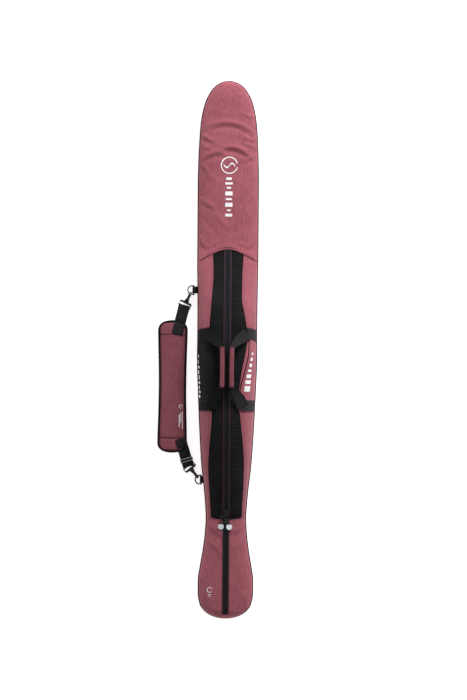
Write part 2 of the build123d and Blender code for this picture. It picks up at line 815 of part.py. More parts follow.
def strap_web(frame, sewn_at):
    """Webbing from a hook loop to the pad, folded round the loop's outer bar."""
    bar = frame.from_local_coords(Vector(loop_outer_bar_x, 0, 0))
    run_x = sewn_at[0] - bar.X
    run_y = sewn_at[1] - bar.Y
    run = sqrt(run_x ** 2 + run_y ** 2)
    heading = Vector(run_x / run, run_y / run, 0)
    section = Plane(origin=(bar.X, bar.Y, 0), x_dir=heading, z_dir=heading.cross(Vector(0, 0, 1)))
    centre_z = bar.Z
    lie = pad_top + 0.2
    fold = 4.6
    with BuildPart() as web:
        with BuildSketch(section.offset(-strap_wide / 2)):
            with BuildLine():
                Polyline(
                    (0, centre_z + fold), (4, centre_z + fold), (11, centre_z + 2.0),
                    (run - end_patch - 19, centre_z + 2.0), (run - end_patch - 4, lie + strap_thick),
                    (run, lie + strap_thick), (run, lie), (run - end_patch - 3, lie),
                    (run - end_patch - 18, centre_z + 2.0 - strap_thick),
                    (10, centre_z + 2.0 - strap_thick), (4, centre_z - fold), (0, centre_z - fold),
                    close=False,
                )
                ThreePointArc((0, centre_z - fold), (-fold, centre_z), (0, centre_z + fold))
            make_face()
            with Locations((0.2, centre_z)):
                RectangleRounded(5.2, 2 * (fold - strap_thick) + 1.4, 1.2, mode=Mode.SUBTRACT)
        extrude(amount=strap_wide)
    return web.part


upper_patch = (-164.5, 50.0)
lower_patch = (-152.0, -295.0)
with BuildPart() as strap_web_upper:
    add(strap_web(upper_hook, upper_patch))
    add(hook_loop_upper.part, mode=Mode.SUBTRACT)
with BuildPart() as strap_web_lower:
    add(strap_web(lower_hook, lower_patch))
    add(hook_loop_lower.part, mode=Mode.SUBTRACT)

adjuster_place = 20.0       # from the loop's outer bar along the webbing
adjuster_plate = 1.6
adjuster_long = 12.0
adjuster_bar = 2.6
adjuster_rail = 2.4
adjuster_margin = 2.8       # the plate stands out this far past the webbing on each side


def adjuster(frame, sewn_at):
    """Three-bar slider: two side rails, outer bars over the webbing, middle bar under it."""
    bar = frame.from_local_coords(Vector(loop_outer_bar_x, 0, 0))
    heading = Vector(sewn_at[0] - bar.X, sewn_at[1] - bar.Y, 0).normalized()
    origin = Vector(bar.X, bar.Y, bar.Z + 2.0 - strap_thick / 2) + heading * adjuster_place
    local = Plane(origin=origin, x_dir=heading, z_dir=(0, 0, 1))
    gap = strap_thick / 2 + 0.35
    with BuildPart() as slide:
        for side in (-1, 1):
            with Locations((0, side * (strap_wide / 2 + adjuster_margin - adjuster_rail / 2), 0)):
                Box(adjuster_long, adjuster_rail, 2 * gap + 2 * adjuster_plate)
            with Locations((side * (adjuster_long - adjuster_bar) / 2, 0, gap + adjuster_plate / 2)):
                Box(adjuster_bar, strap_wide + 2 * adjuster_margin, adjuster_plate)
        with Locations((0, 0, -gap - adjuster_plate / 2)):
            Box(adjuster_bar, strap_wide + 2 * adjuster_margin, adjuster_plate)
    return local * slide.part


with BuildPart() as strap_adjuster:
    add(adjuster(lower_hook, lower_patch))

# ---------------------------------------------------------------- export
pieces = {
    "back_panel": back_panel,
    "back_foam": back_foam,
    "inner_lining": inner_lining,
    "nose_cover": nose_cover,
    "nose_foam": nose_foam,
    "side_panel_left": side_panel_left,
    "side_panel_right": side_panel_right,
    "side_foam_left": side_foam_left,
    "side_foam_right": side_foam_right,
    "piping": piping,
    "band_upper_left": band_upper_left,
    "band_upper_right": band_upper_right,
    "band_lower_left": band_lower_left,
    "band_lower_right": band_lower_right,
    "mesh_left": mesh_left,
    "mesh_right": mesh_right,
    "mesh_end_nose": mesh_end_nose,
    "mesh_end_waist": mesh_end_waist,
    "zip_tape_left": zip_tape_left,
    "zip_tape_right": zip_tape_right,
    "zip_coil_left": zip_coil_left,
    "zip_coil_right": zip_coil_right,
    "zip_stub_nose": zip_stub_nose,
    "zip_stub_waist": zip_stub_waist,
    "tail_tape_left": tail_tape_left,
    "tail_tape_right": tail_tape_right,
    "tail_coil_left": tail_coil_left,
    "tail_coil_right": tail_coil_right,
    "zip_stops": zip_stops,
    "slider_nose": slider_nose,
    "slider_tail": slider_tail,
    "pull_stem_nose": pull_stem_nose,
    "pull_stem_tail": pull_stem_tail,
    "pull_disc_nose": pull_disc_nose,
    "pull_disc_tail": pull_disc_tail,
    "handle_web_left": handle_web_left,
    "handle_web_right": handle_web_right,
    "handle_grip_left": handle_grip_left,
    "handle_grip_right": handle_grip_right,
    "d_ring_tab_upper": d_ring_tab_upper,
    "d_ring_tab_lower": d_ring_tab_lower,
    "d_ring_upper": d_ring_upper,
    "d_ring_lower": d_ring_lower,
    "snap_hook_upper": snap_hook_upper,
    "snap_hook_lower": snap_hook_lower,
    "hook_gate_upper": hook_gate_upper,
    "hook_gate_lower": hook_gate_lower,
    "hook_loop_upper": hook_loop_upper,
    "hook_loop_lower": hook_loop_lower,
    "strap_web_upper": strap_web_upper,
    "strap_web_lower": strap_web_lower,
    "strap_adjuster": strap_adjuster,
    "pad_face": pad_face,
    "pad_foam": pad_foam,
    "pad_back": pad_back,
    "pad_binding": pad_binding,
}
for label, piece in pieces.items():
    keep(piece.part, label)
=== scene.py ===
import math
import random

import bmesh
import bpy
import numpy as np
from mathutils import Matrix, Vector


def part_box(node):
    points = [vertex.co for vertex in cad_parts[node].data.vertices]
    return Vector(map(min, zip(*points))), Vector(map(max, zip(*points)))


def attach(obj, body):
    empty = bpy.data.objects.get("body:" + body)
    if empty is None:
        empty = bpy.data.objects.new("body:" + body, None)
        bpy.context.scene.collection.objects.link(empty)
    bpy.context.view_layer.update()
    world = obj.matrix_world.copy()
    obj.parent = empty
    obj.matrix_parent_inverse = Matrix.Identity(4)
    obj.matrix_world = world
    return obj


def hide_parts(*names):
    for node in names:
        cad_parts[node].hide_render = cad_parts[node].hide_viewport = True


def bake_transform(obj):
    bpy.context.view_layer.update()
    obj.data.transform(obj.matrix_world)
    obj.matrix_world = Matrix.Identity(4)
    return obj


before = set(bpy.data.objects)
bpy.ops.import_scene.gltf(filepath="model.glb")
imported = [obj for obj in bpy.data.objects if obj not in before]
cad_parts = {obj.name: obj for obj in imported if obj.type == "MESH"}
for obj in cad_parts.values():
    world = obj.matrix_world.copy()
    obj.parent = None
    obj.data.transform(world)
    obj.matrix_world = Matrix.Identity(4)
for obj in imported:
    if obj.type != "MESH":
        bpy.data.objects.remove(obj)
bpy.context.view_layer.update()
MM = 0.001
SIDE_NAME = {-1: "left", 1: "right"}

# ---------------------------------------------------------------- the bag's outer surface, in mm
# tables are (place along the bag, value)
SEAM_Z = 26.0
ARC_R = 966.0
ARC_Y = -112.0
ARC_Z = 172.0 - 964.0
WAIST_Y = -557.0
NOSE_SEAM_Y = 327.5
END_Y = 881.0
SHELL_END_Y = END_Y - 0.05
PANEL_DEEP = 7.5            # cloth and foam together
WINDOW_START_Y = -552.0
WINDOW_FOOT_Y = -548.0      # from here to the waist the window closes in an arc
LEFT_WALL_Y = (-184.0, 38.0)  # black cloth between the left bands

HALF_WIDTH = [(-881, 0), (-873, 42), (-856, 68), (-836, 81.5), (-797, 88), (-757, 88), (-718, 83),
              (-659, 73), (-600, 66), (-550, 63.5), (-520, 65), (-461, 70), (-382, 79), (-303, 84.5),
              (-205, 89.5), (-146, 92), (-24, 96), (80, 95.5), (190, 96), (289, 97.5), (545, 97.5),
              (624, 96), (683, 93.5), (723, 91), (762, 86.5), (802, 78), (822, 71.5), (841, 61.5),
              (861, 47), (881, 0)]
RISE = [(-881, 0), (-877, 22), (-868, 34), (-850, 40), (-557, 40), (327.5, 40), (400, 35.5),
        (545, 31.5), (683, 28.5), (762, 26), (822, 22.5), (861, 16), (881, 0)]
WINDOW = {
    1: [(-552, 52), (-520, 53), (-461, 56), (-380, 58), (-330, 56), (-264, 50), (-198, 43), (-140, 41),
        (-84, 47), (-10, 61), (28, 66), (72, 64), (120, 56), (170, 48), (240, 49), (313, 53)],
    -1: [(-552, 50), (-520, 52), (-461, 56), (-380, 60), (-330, 58), (-264, 53), (-204, 50), (-192, 66),
         (-184, 88), (-120, 93), (-60, 94), (0, 92), (28, 88), (36, 80), (46, 63), (72, 60), (170, 53),
         (240, 48), (313, 50)],
}


def smooth_table(table, y, squared=False):
    """Smooth values between given stations (monotone cubic)."""
    ys = np.array([p[0] for p in table], float)
    vs = np.array([p[1] for p in table], float)
    if squared:
        vs = vs ** 2
    h = np.diff(ys)
    d = np.diff(vs) / h
    m = np.zeros(len(ys))
    for i in range(1, len(ys) - 1):
        if d[i - 1] * d[i] > 0:
            a, b = 2 * h[i] + h[i - 1], h[i] + 2 * h[i - 1]
            m[i] = (a + b) / (a / d[i - 1] + b / d[i])
    m[0], m[-1] = d[0], d[-1]
    y = np.clip(np.asarray(y, float), ys[0], ys[-1])
    i = np.clip(np.searchsorted(ys, y) - 1, 0, len(h) - 1)
    t = (y - ys[i]) / h[i]
    out = ((1 + 2 * t) * (1 - t) ** 2 * vs[i] + t * (1 - t) ** 2 * h[i] * m[i]
           + t * t * (3 - 2 * t) * vs[i + 1] + t * t * (t - 1) * h[i] * m[i + 1])
    return np.sqrt(np.maximum(out, 0)) if squared else out


def half_width(y):
    return smooth_table(HALF_WIDTH, y, True)


def arc_top(y):
    return ARC_Z + np.sqrt(ARC_R ** 2 - (np.clip(y, WAIST_Y, NOSE_SEAM_Y) - ARC_Y) ** 2)


def top(y):
    """Height of the bag's top line."""
    y = np.asarray(y, float)
    low = SEAM_Z + smooth_table(RISE, y, True)
    return np.where((y > WAIST_Y) & (y < NOSE_SEAM_Y), np.maximum(arc_top(y), 68.0), low + 2.0)


def power(y):
    """Squareness of the section: fuller over the boots."""
    bulge = np.clip((top(y) - 70.0) / 100.0, 0, 1)
    return 2.5 + 0.75 * bulge


def window_x(y, side):
    """Half width of the mesh window. On the left it reaches down the wall between the bands."""
    return smooth_table(WINDOW[side], y)


def surface(x, y):
    """Height of the upper surface over a point in plan."""
    w = np.maximum(half_width(y), 1e-3)
    n = power(y)
    r = np.clip(np.abs(x) / w, 0, 1)
    return SEAM_Z + (top(y) - SEAM_Z) * (1 - r ** n) ** (1 / n)


def section_point(y, t):
    """Point of the upper section: t is 0 on the centre line and 1 at the seam (signed)."""
    w = half_width(y)
    n = power(y)
    a = np.abs(t) * math.pi / 2
    c = np.cos(a)
    s = np.sin(a)
    k = (c ** n + s ** n) ** (-1 / n)
    return np.sign(t) * w * s * k, SEAM_Z + (top(y) - SEAM_Z) * c * k


def section_t(x, y):
    """The section parameter of a point in plan."""
    w = np.maximum(half_width(y), 1e-3)
    n = power(y)
    r = np.clip(np.abs(x) / w, 0, 1)
    return np.sign(x) * np.arctan2(r, (1 - r ** n) ** (1 / n)) * 2 / math.pi


def wave_noise(x, y, seed, scale):
    """Cheap smooth noise from a few sine waves."""
    rng = random.Random(seed)
    total = np.zeros_like(np.asarray(x, float))
    for _ in range(7):
        a = rng.uniform(0, 2 * math.pi)
        f = rng.uniform(0.6, 1.6) / scale
        total = total + np.sin((x * math.cos(a) + y * math.sin(a)) * f * 2 * math.pi + rng.uniform(0, 6.3))
    return total / 7


# crescents and folds in the cloth: centre x, centre y, half length, slope, bow, width, depth
FOLDS = [
    (4, 746, 72, -0.10, -20, 8, 4.6), (4, 728, 66, -0.10, -20, 7, -3.4),
    (-48, 646, 36, 0.22, -9, 8, 4.2), (-46, 630, 34, 0.22, -9, 7, -3.4),
    (22, 664, 46, -0.22, -14, 8, 5.2), (22, 646, 44, -0.22, -13, 7, -4.0),
    (64, 768, 22, -0.36, 0, 6, 2.6), (70, 690, 20, -0.10, 3, 5, 2.6), (72, 669, 20, -0.34, 0, 5, 2.8),
    (74, 630, 20, 0.34, 0, 5, 2.6), (66, 612, 20, 0.2, 0, 6, -1.8),
    (-70, 694, 20, -0.5, 0, 6, 3.0), (-72, 680, 18, -0.4, 0, 5, -2.2), (-74, 662, 18, -0.3, 0, 5, 2.8),
    (-78, 596, 14, -0.7, 0, 6, 2.8), (-68, 478, 26, -0.5, 4, 8, 3.0), (-66, 462, 24, -0.5, 4, 7, -2.2),
    (-56, 566, 30, -0.9, 10, 12, 1.8), (46, 452, 40, 1.75, 12, 13, 2.4), (64, 512, 26, 1.5, 0, 10, -1.8),
    (-36, 440, 36, -1.3, 10, 13, 2.2), (-60, 404, 30, -1.2, 0, 11, -1.8), (10, 405, 46, 0.0, 22, 13, 1.8),
    (-84, 352, 16, -1.5, 0, 6, 3.4), (-76, 330, 18, -0.9, 0, 5, -3.0), (-58, 338, 24, 0.55, 0, 5, 3.0),
    (84, 352, 16, 1.5, 0, 6, 3.4), (76, 332, 18, 0.9, 0, 5, -3.0), (58, 340, 24, -0.55, 0, 5, 3.0),
    (-38, -588, 24, -0.75, 6, 6, 3.0), (-34, -612, 26, -0.6, 6, 7, -2.2), (-44, -636, 26, -0.5, 8, 8, 2.0),
    (-30, -650, 20, -0.9, 0, 7, 2.4), (40, -586, 24, 0.55, 6, 6, 2.8), (38, -606, 24, 0.35, 6, 7, -2.0),
    (42, -640, 26, 0.9, 8, 9, 1.8), (44, -690, 30, 1.2, 10, 10, 1.2), (-42, -730, 30, -0.5, 8, 10, 1.0),
    (-78, 60, 20, 0.9, 8, 9, 1.8), (-78, 130, 22, 1.1, 8, 10, 1.6), (80, 130, 20, -1.0, 8, 10, 1.4),
    (-78, -260, 18, -0.8, 8, 8, 1.8), (74, -300, 18, 0.9, 8, 9, 1.6), (-68, -420, 16, -0.8, 6, 8, 1.6),
]


def fold_height(x, y):
    """How far the cloth stands proud of its smooth shape."""
    total = 0.8 * wave_noise(x, y, 3, 90.0) + 0.4 * wave_noise(x, y, 8, 34.0)
    for cx, cy, half, slope, bow, wide, deep in FOLDS:
        u = (x - cx) / half
        line = cy + slope * (x - cx) + bow * u * u
        total = total + deep * np.exp(-((y - line) / wide) ** 2) * np.exp(-(u ** 4))
    step = y - nose_seam_y(x)
    total = total + 3.2 * np.where(step > 0, np.exp(-(step / 16.0) ** 2), 0.0) * (np.abs(x) < 200)
    return total


# ---------------------------------------------------------------- mesh helpers
def unit(vectors):
    return vectors / np.linalg.norm(vectors, axis=-1, keepdims=True)


def grid_object(name, points, material, close=False):
    """A quad sheet from an array of points (rows, columns, 3) in mm, with a smooth finish."""
    rows, cols = points.shape[:2]
    verts = [tuple(p * MM) for p in points.reshape(-1, 3)]
    faces = []
    for i in range(rows - 1):
        for j in range(cols if close else cols - 1):
            k = (j + 1) % cols
            faces.append((i * cols + j, i * cols + k, (i + 1) * cols + k, (i + 1) * cols + j))
    return mesh_object(name, verts, faces, material)


def new_object(name, data):
    """Puts new object data in the scene."""
    obj = bpy.data.objects.new(name, data)
    bpy.context.collection.objects.link(obj)
    return obj


def mesh_object(name, verts, faces, material):
    mesh = bpy.data.meshes.new(name)
    mesh.from_pydata(verts, [], faces)
    mesh.update()
    mesh.shade_smooth()
    mesh.materials.append(material)
    return new_object(name, mesh)


def face_towards(obj, direction):
    """Turns a sheet's faces so that they look towards a direction."""
    d = Vector(direction)
    if sum(f.normal.dot(d) * f.area for f in obj.data.polygons) < 0:
        obj.data.flip_normals()
    return obj


def apply_modifiers(obj):
    """Bakes the modifiers into the mesh."""
    deps = bpy.context.evaluated_depsgraph_get()
    mesh = bpy.data.meshes.new_from_object(obj.evaluated_get(deps))
    obj.modifiers.clear()
    obj.data = mesh
    return obj


def thicken(obj, depth, inner=None):
    """Gives a sheet its thickness, inwards, with its own material inside."""
    if inner:
        obj.data.materials.append(inner)
    mod = obj.modifiers.new("thick", "SOLIDIFY")
    mod.thickness = depth * MM
    mod.offset = -1.0
    mod.material_offset = 1 if inner else 0
    mod.material_offset_rim = 0
    return apply_modifiers(obj)


def cap_ends(obj, cols, outward=False):
    """Closes both ends of a tube made of rings of cols points."""
    bm = bmesh.new()
    bm.from_mesh(obj.data)
    bm.verts.ensure_lookup_table()
    last = len(bm.verts) - cols
    bm.faces.new([bm.verts[j] for j in range(cols)][::-1])
    bm.faces.new([bm.verts[last + j] for j in range(cols)])
    if outward:
        bmesh.ops.recalc_face_normals(bm, faces=bm.faces)
    bm.to_mesh(obj.data)
    bm.free()
    obj.data.shade_smooth()


def tube(name, path, radius, material, sides=8, closed=False, flat=1.0, up=(0, 0, 1)):
    """A tube or flattened strip along points in mm. radius may be a list."""
    path = np.asarray(path, float)
    count = len(path)
    if closed:
        tangent = np.roll(path, -1, 0) - np.roll(path, 1, 0)
    else:
        tangent = np.gradient(path, axis=0)
    tangent = tangent / np.maximum(np.linalg.norm(tangent, axis=1, keepdims=True), 1e-9)
    side = np.cross(tangent, np.asarray(up, float))
    side = side / np.maximum(np.linalg.norm(side, axis=1, keepdims=True), 1e-9)
    over = np.cross(side, tangent)
    angle = np.linspace(0, 2 * math.pi, sides, endpoint=False)
    radius = np.broadcast_to(radius, (count,))
    ring = (path[:, None, :] + side[:, None, :] * (radius[:, None, None] * np.cos(angle)[None, :, None])
            + over[:, None, :] * (radius[:, None, None] * flat * np.sin(angle)[None, :, None]))
    if closed:
        ring = np.concatenate([ring, ring[:1]], 0)
    obj = grid_object(name, ring, material, close=True)
    if not closed:
        cap_ends(obj, sides)
    return obj


def strip(name, path, across, wide, thick, material):
    """Flat webbing along a path: across gives the width direction at each point, thick its depth."""
    path = np.asarray(path, float)
    across = np.asarray(across, float)
    across = unit(across)
    tangent = np.gradient(path, axis=0)
    tangent = unit(tangent)
    normal = np.cross(across, tangent)
    normal = unit(normal)
    wide = np.broadcast_to(wide, (len(path),))
    profile = []
    for u in np.linspace(-0.5, 0.5, 9):
        thinner = max(0, (abs(u) - 0.44) / 0.06)
        profile.append((u, thick / 2 * (1 - 0.6 * thinner)))
    loop = profile + [(u, -v) for u, v in profile[::-1]]
    ring = np.stack([path + across * (wide * u)[:, None] + normal * v for u, v in loop], 1)
    obj = grid_object(name, ring, material, close=True)
    cap_ends(obj, len(loop), outward=True)
    return obj


def join(name, objs):
    """One object from several, keeping their materials."""
    bm = bmesh.new()
    materials = []
    for o in objs:
        start = len(bm.faces)
        offset = {}
        for i, m in enumerate(o.data.materials):
            if m not in materials:
                materials.append(m)
            offset[i] = materials.index(m)
        bm.from_mesh(o.data)
        bm.faces.ensure_lookup_table()
        for f in bm.faces[start:]:
            f.material_index = offset.get(f.material_index, 0)
    mesh = bpy.data.meshes.new(name)
    bm.to_mesh(mesh)
    bm.free()
    for m in materials:
        mesh.materials.append(m)
    for o in objs:
        bpy.data.objects.remove(o)
    out = new_object(name, mesh)
    mesh.shade_smooth()
    return out


# ---------------------------------------------------------------- materials
def principled(name, color, rough, **extra):
    mat = bpy.data.materials.new(name)
    mat.use_nodes = True
    nodes = mat.node_tree.nodes
    shader = nodes["Principled BSDF"]
    shader.inputs["Base Color"].default_value = (*color, 1)
    shader.inputs["Roughness"].default_value = rough
    for key, value in extra.items():
        shader.inputs[key.replace("_", " ")].default_value = value
    return mat, mat.node_tree, shader


def srgb(r, g, b):
    return tuple(((c / 255) / 12.92 if c <= 10 else (((c / 255) + 0.055) / 1.055) ** 2.4) for c in (r, g, b))


def object_coords(tree, stretch=(1, 1, 1)):
    """Object coordinates, stretched along each axis."""
    coords = tree.nodes.new("ShaderNodeTexCoord")
    mapping = tree.nodes.new("ShaderNodeMapping")
    mapping.inputs["Scale"].default_value = stretch
    tree.links.new(coords.outputs["Object"], mapping.inputs["Vector"])
    return mapping.outputs["Vector"]


def noise(tree, scale, detail=3.0, stretch=(1, 1, 1)):
    tex = tree.nodes.new("ShaderNodeTexNoise")
    tex.inputs["Scale"].default_value = scale
    tex.inputs["Detail"].default_value = detail
    tex.inputs["Roughness"].default_value = 0.6
    tree.links.new(object_coords(tree, stretch), tex.inputs["Vector"])
    return tex.outputs["Fac"]


def wave(tree, scale, direction):
    tex = tree.nodes.new("ShaderNodeTexWave")
    tex.bands_direction = direction
    tex.inputs["Scale"].default_value = scale
    tree.links.new(object_coords(tree), tex.inputs["Vector"])
    return tex.outputs["Fac"]


def math_node(tree, op, a, b):
    node = tree.nodes.new("ShaderNodeMath")
    node.operation = op
    for i, value in enumerate((a, b)):
        if isinstance(value, (int, float)):
            node.inputs[i].default_value = value
        else:
            tree.links.new(value, node.inputs[i])
    return node.outputs[0]


def add(tree, a, b):
    return math_node(tree, "ADD", a, b)


def multiply(tree, a, b):
    return math_node(tree, "MULTIPLY", a, b)


def shades(color, dark, light):
    """A darker and a lighter version of a colour."""
    return tuple(c * dark for c in color), tuple(min(1, c * light) for c in color)


def ramp(tree, fac, stops):
    node = tree.nodes.new("ShaderNodeValToRGB")
    while len(node.color_ramp.elements) < len(stops):
        node.color_ramp.elements.new(0.5)
    for element, (at, color) in zip(node.color_ramp.elements, stops):
        element.position = at
        element.color = (*color, 1)
    tree.links.new(fac, node.inputs["Fac"])
    return node.outputs["Color"]


def bump(tree, shader, height, strength, distance):
    node = tree.nodes.new("ShaderNodeBump")
    node.inputs["Strength"].default_value = strength
    node.inputs["Distance"].default_value = distance
    tree.links.new(height, node.inputs["Height"])
    tree.links.new(node.outputs["Normal"], shader.inputs["Normal"])


def heather(name, color, spread=0.16, weave=850.0):
    """Melange cloth: long faint streaks along the bag, fine fleck, plain weave in the bump."""
    mat, tree, shader = principled(name, color, 0.92, Sheen_Weight=0.06, Sheen_Roughness=0.5,
                                   Specular_IOR_Level=0.15)
    streak = noise(tree, 420.0, 3.0, (1.0, 0.10, 1.0))
    fleck = noise(tree, 900.0, 2.0, (1.0, 0.5, 1.0))
    cloud = noise(tree, 9.0, 3.0)
    small = add(tree, multiply(tree, fleck, 0.30), multiply(tree, cloud, 0.20))
    mix = add(tree, multiply(tree, streak, 0.50), small)
    dark = tuple(c * (1 - 1.9 * spread) for c in color)
    light = tuple(min(1, c * (1 + 1.5 * spread) + 0.01) for c in color)
    tree.links.new(ramp(tree, mix, [(0.36, dark), (0.5, color), (0.64, light)]), shader.inputs["Base Color"])
    warp = wave(tree, weave, "X")
    weft = wave(tree, weave, "Y")
    height = add(tree, multiply(tree, warp, weft), multiply(tree, fleck, 0.6))
    bump(tree, shader, height, 0.5, 0.0004)
    return mat


def webbing(name, color=(0.0095, 0.0095, 0.011), along="Y", rib=430.0):
    """Black ribbed webbing."""
    mat, tree, shader = principled(name, color, 0.8, Specular_IOR_Level=0.12)
    ribs = wave(tree, rib, along)
    cross = wave(tree, rib * 0.6, "X" if along == "Y" else "Y")
    fine = noise(tree, 700.0, 2.0)
    mixed = add(tree, multiply(tree, ribs, 0.6), multiply(tree, fine, 0.4))
    dark, light = shades(color, 0.6, 1.5)
    tree.links.new(ramp(tree, mixed, [(0.2, dark), (0.8, light)]), shader.inputs["Base Color"])
    bump(tree, shader, add(tree, ribs, multiply(tree, cross, 0.5)), 0.6, 0.0006)
    return mat


def net(name):
    """Mesh cloth, drawn as grey threads and near-black eyes that fade in and out."""
    mat, tree, shader = principled(name, (0.01, 0.01, 0.011), 0.8, Specular_IOR_Level=0.12)
    across = wave(tree, 90.0, "X")
    along = wave(tree, 45.0, "Y")
    warp = multiply(tree, math_node(tree, "POWER", across, 3.0), 0.6)
    weft = math_node(tree, "POWER", along, 2.0)
    thread = math_node(tree, "MAXIMUM", warp, weft)
    frayed = add(tree, multiply(tree, noise(tree, 260.0, 2.0), 0.9), 0.35)
    eyes = add(tree, multiply(tree, wave(tree, 58.0, "X"), 0.65), 0.4)
    sweep = add(tree, multiply(tree, noise(tree, 9.0, 2.0), 1.3), 0.35)
    broken = multiply(tree, multiply(tree, multiply(tree, thread, frayed), eyes), sweep)
    stops = [(0.05, (0.002, 0.002, 0.0022)), (0.45, (0.010, 0.010, 0.0115)), (0.9, (0.055, 0.056, 0.062))]
    tree.links.new(ramp(tree, broken, stops), shader.inputs["Base Color"])
    bump(tree, shader, thread, 0.8, 0.0009)
    return mat


def plastic(name, color, rough=0.45):
    mat, tree, shader = principled(name, color, rough, Coat_Weight=0.08)
    grain = noise(tree, 1400.0, 2.0)
    cloud = noise(tree, 40.0, 2.0)
    dark, light = shades(color, 0.85, 1.12)
    tree.links.new(ramp(tree, cloud, [(0.3, dark), (0.7, light)]), shader.inputs["Base Color"])
    bump(tree, shader, grain, 0.15, 0.0003)
    return mat


def metal(name, color, rough):
    mat, tree, shader = principled(name, color, rough, Metallic=1.0)
    scratch = noise(tree, 500.0, 3.0, (1, 0.08, 1))
    dark, _ = shades(color, 0.75, 1.0)
    tree.links.new(ramp(tree, scratch, [(0.35, dark), (0.65, color)]), shader.inputs["Base Color"])
    bump(tree, shader, scratch, 0.12, 0.0002)
    return mat


MAROON = heather("maroon_cloth", srgb(162, 90, 101))
# darker copy of the maroon cloth: painted shade for the shadow that the tall bag casts over the pad
PAD_CLOTH_PAINTED_SHADE = heather("pad_cloth", srgb(140, 78, 87), 0.14, 700.0)
GRIP_CLOTH = heather("grip_cloth", srgb(132, 73, 83), 0.12, 900.0)
WEB = webbing("webbing", srgb(40, 40, 43))
WEB_X = webbing("webbing_across", srgb(46, 46, 50), along="X")
# darker copy of the webbing: painted shade for the left bands and left handle, which face away from the key
# light
WEB_PAINTED_SHADE = webbing("webbing_painted_shade", srgb(20, 20, 21), along="X")
BINDING = webbing("binding", (0.006, 0.006, 0.0065), rib=700.0)
WALL_BLACK = webbing("wall_black", srgb(16, 16, 17), rib=800.0)
TAPE = webbing("zip_tape", srgb(33, 33, 38), rib=900.0)
TAIL_TAPE = webbing("tail_tape", srgb(34, 34, 39), rib=900.0)
NET = net("mesh_cloth")
LINING = webbing("lining", (0.006, 0.006, 0.007), rib=600.0)
COIL = plastic("zip_coil", srgb(44, 44, 50), 0.5)
BLACK_PLASTIC = plastic("black_plastic", srgb(26, 26, 28), 0.42)
PALE_PLASTIC = plastic("pale_plastic", srgb(238, 243, 247), 0.5)
PAINTED = plastic("slider_paint", srgb(30, 30, 33), 0.35)
STEEL = metal("steel", srgb(190, 192, 196), 0.3)
PINK_THREAD = plastic("pink_thread", srgb(112, 62, 74), 0.85)
DARK_THREAD = plastic("dark_thread", srgb(96, 50, 60), 0.8)
PRINT = plastic("print", srgb(250, 248, 249), 0.75)


# ---------------------------------------------------------------- seams in plan
def nose_seam_y(x):
    """Curved seam between the nose cover and the rest."""
    x = np.abs(x)
    return np.where(x < 52, 328.0 - 15.0 * (x / 52.0) ** 2, 313.0 - 24.0 * ((x - 52.0) / 46.0) ** 1.1)


def shell_height(x, y):
    """Height of the upper surface with its folds, which fade out at the seam."""
    edge = np.clip((half_width(y) - np.abs(x)) / 14.0, 0, 1)
    return surface(x, y) + fold_height(x, y) * edge


def lifted(x, y, extra):
    """Points on the upper surface with its folds, raised by extra."""
    return np.stack([x, y, shell_height(x, y) + extra], -1)


def patch(t_of, y_of, rows, cols, folds=1.0):
    """Grid of points on the upper surface from functions of (row share, column share)."""
    a, b = np.meshgrid(np.linspace(0, 1, rows), np.linspace(0, 1, cols), indexing="ij")
    y = y_of(a, b)
    t = t_of(a, b, y)
    x, z = section_point(y, t)
    edge = np.clip((1 - np.abs(t)) / 0.12, 0, 1)
    return np.stack([x, y, z + folds * fold_height(x, y) * edge], -1)


def nose_cover():
    """Padded nose cover, from the seam to the tip."""
    def y_of(a, b):
        t = 2 * b - 1
        seam = nose_seam_y(97.5 * np.sin(np.abs(t) * math.pi / 2) ** 0.8)
        share = np.sin(a * math.pi / 2) ** 0.9
        return seam + (SHELL_END_Y - seam) * share
    points = patch(lambda a, b, y: 2 * b - 1, y_of, 190, 72)
    obj = face_towards(grid_object("nose_cover_cloth", points, MAROON), (0, 0, 1))
    thicken(obj, PANEL_DEEP, LINING)
    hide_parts("nose_cover", "nose_foam")
    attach(obj, "bag")


def inner_edge_x(y, side):
    """Inner edge of a side panel: tail zipper, waist arc, then the mesh window."""
    foot = 53.0 * np.sqrt(np.clip(1 - ((y - WINDOW_FOOT_Y) / -10.5) ** 2, 0, 1))
    waist = np.where((y > -558.5) & (y <= WINDOW_FOOT_Y), np.maximum(foot, 9.9), 9.9)
    waist = np.where(y < -867.0, 0.0, waist)
    return np.where(y > WINDOW_FOOT_Y, window_x(np.maximum(y, WINDOW_START_Y), side), waist)


def side_panel(side):
    """Side panel with the wall over the boots; it runs on into the tail."""
    def y_of(a, b):
        seam = nose_seam_y(52.0 + 45.0 * b)
        tail = -562.0 - (END_Y - 562.05) * np.sin(np.clip(1 - a / 0.32, 0, 1) * math.pi / 2)
        waist = -562.0 + (a - 0.32) / 0.10 * 20.0
        rest = -542.0 + (a - 0.42) / 0.58 * (seam + 542.0)
        return np.where(a < 0.32, tail, np.where(a < 0.42, waist, rest))

    def t_of(a, b, y):
        start = section_t(np.minimum(inner_edge_x(y, side), half_width(y) * 0.97), y)
        return side * (start + (1 - start) * b)
    points = patch(t_of, y_of, 330, 34)
    name = SIDE_NAME[side]
    obj = face_towards(grid_object("side_cloth_" + name, points, MAROON), (side * 0.5, 0, 1))
    if side < 0:
        obj.data.materials.append(WALL_BLACK)
        for face in obj.data.polygons:
            if LEFT_WALL_Y[0] < face.center.y / MM < LEFT_WALL_Y[1]:
                face.material_index = 1
    thicken(obj, PANEL_DEEP)
    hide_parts("side_panel_" + name, "side_foam_" + name)
    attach(obj, "bag")


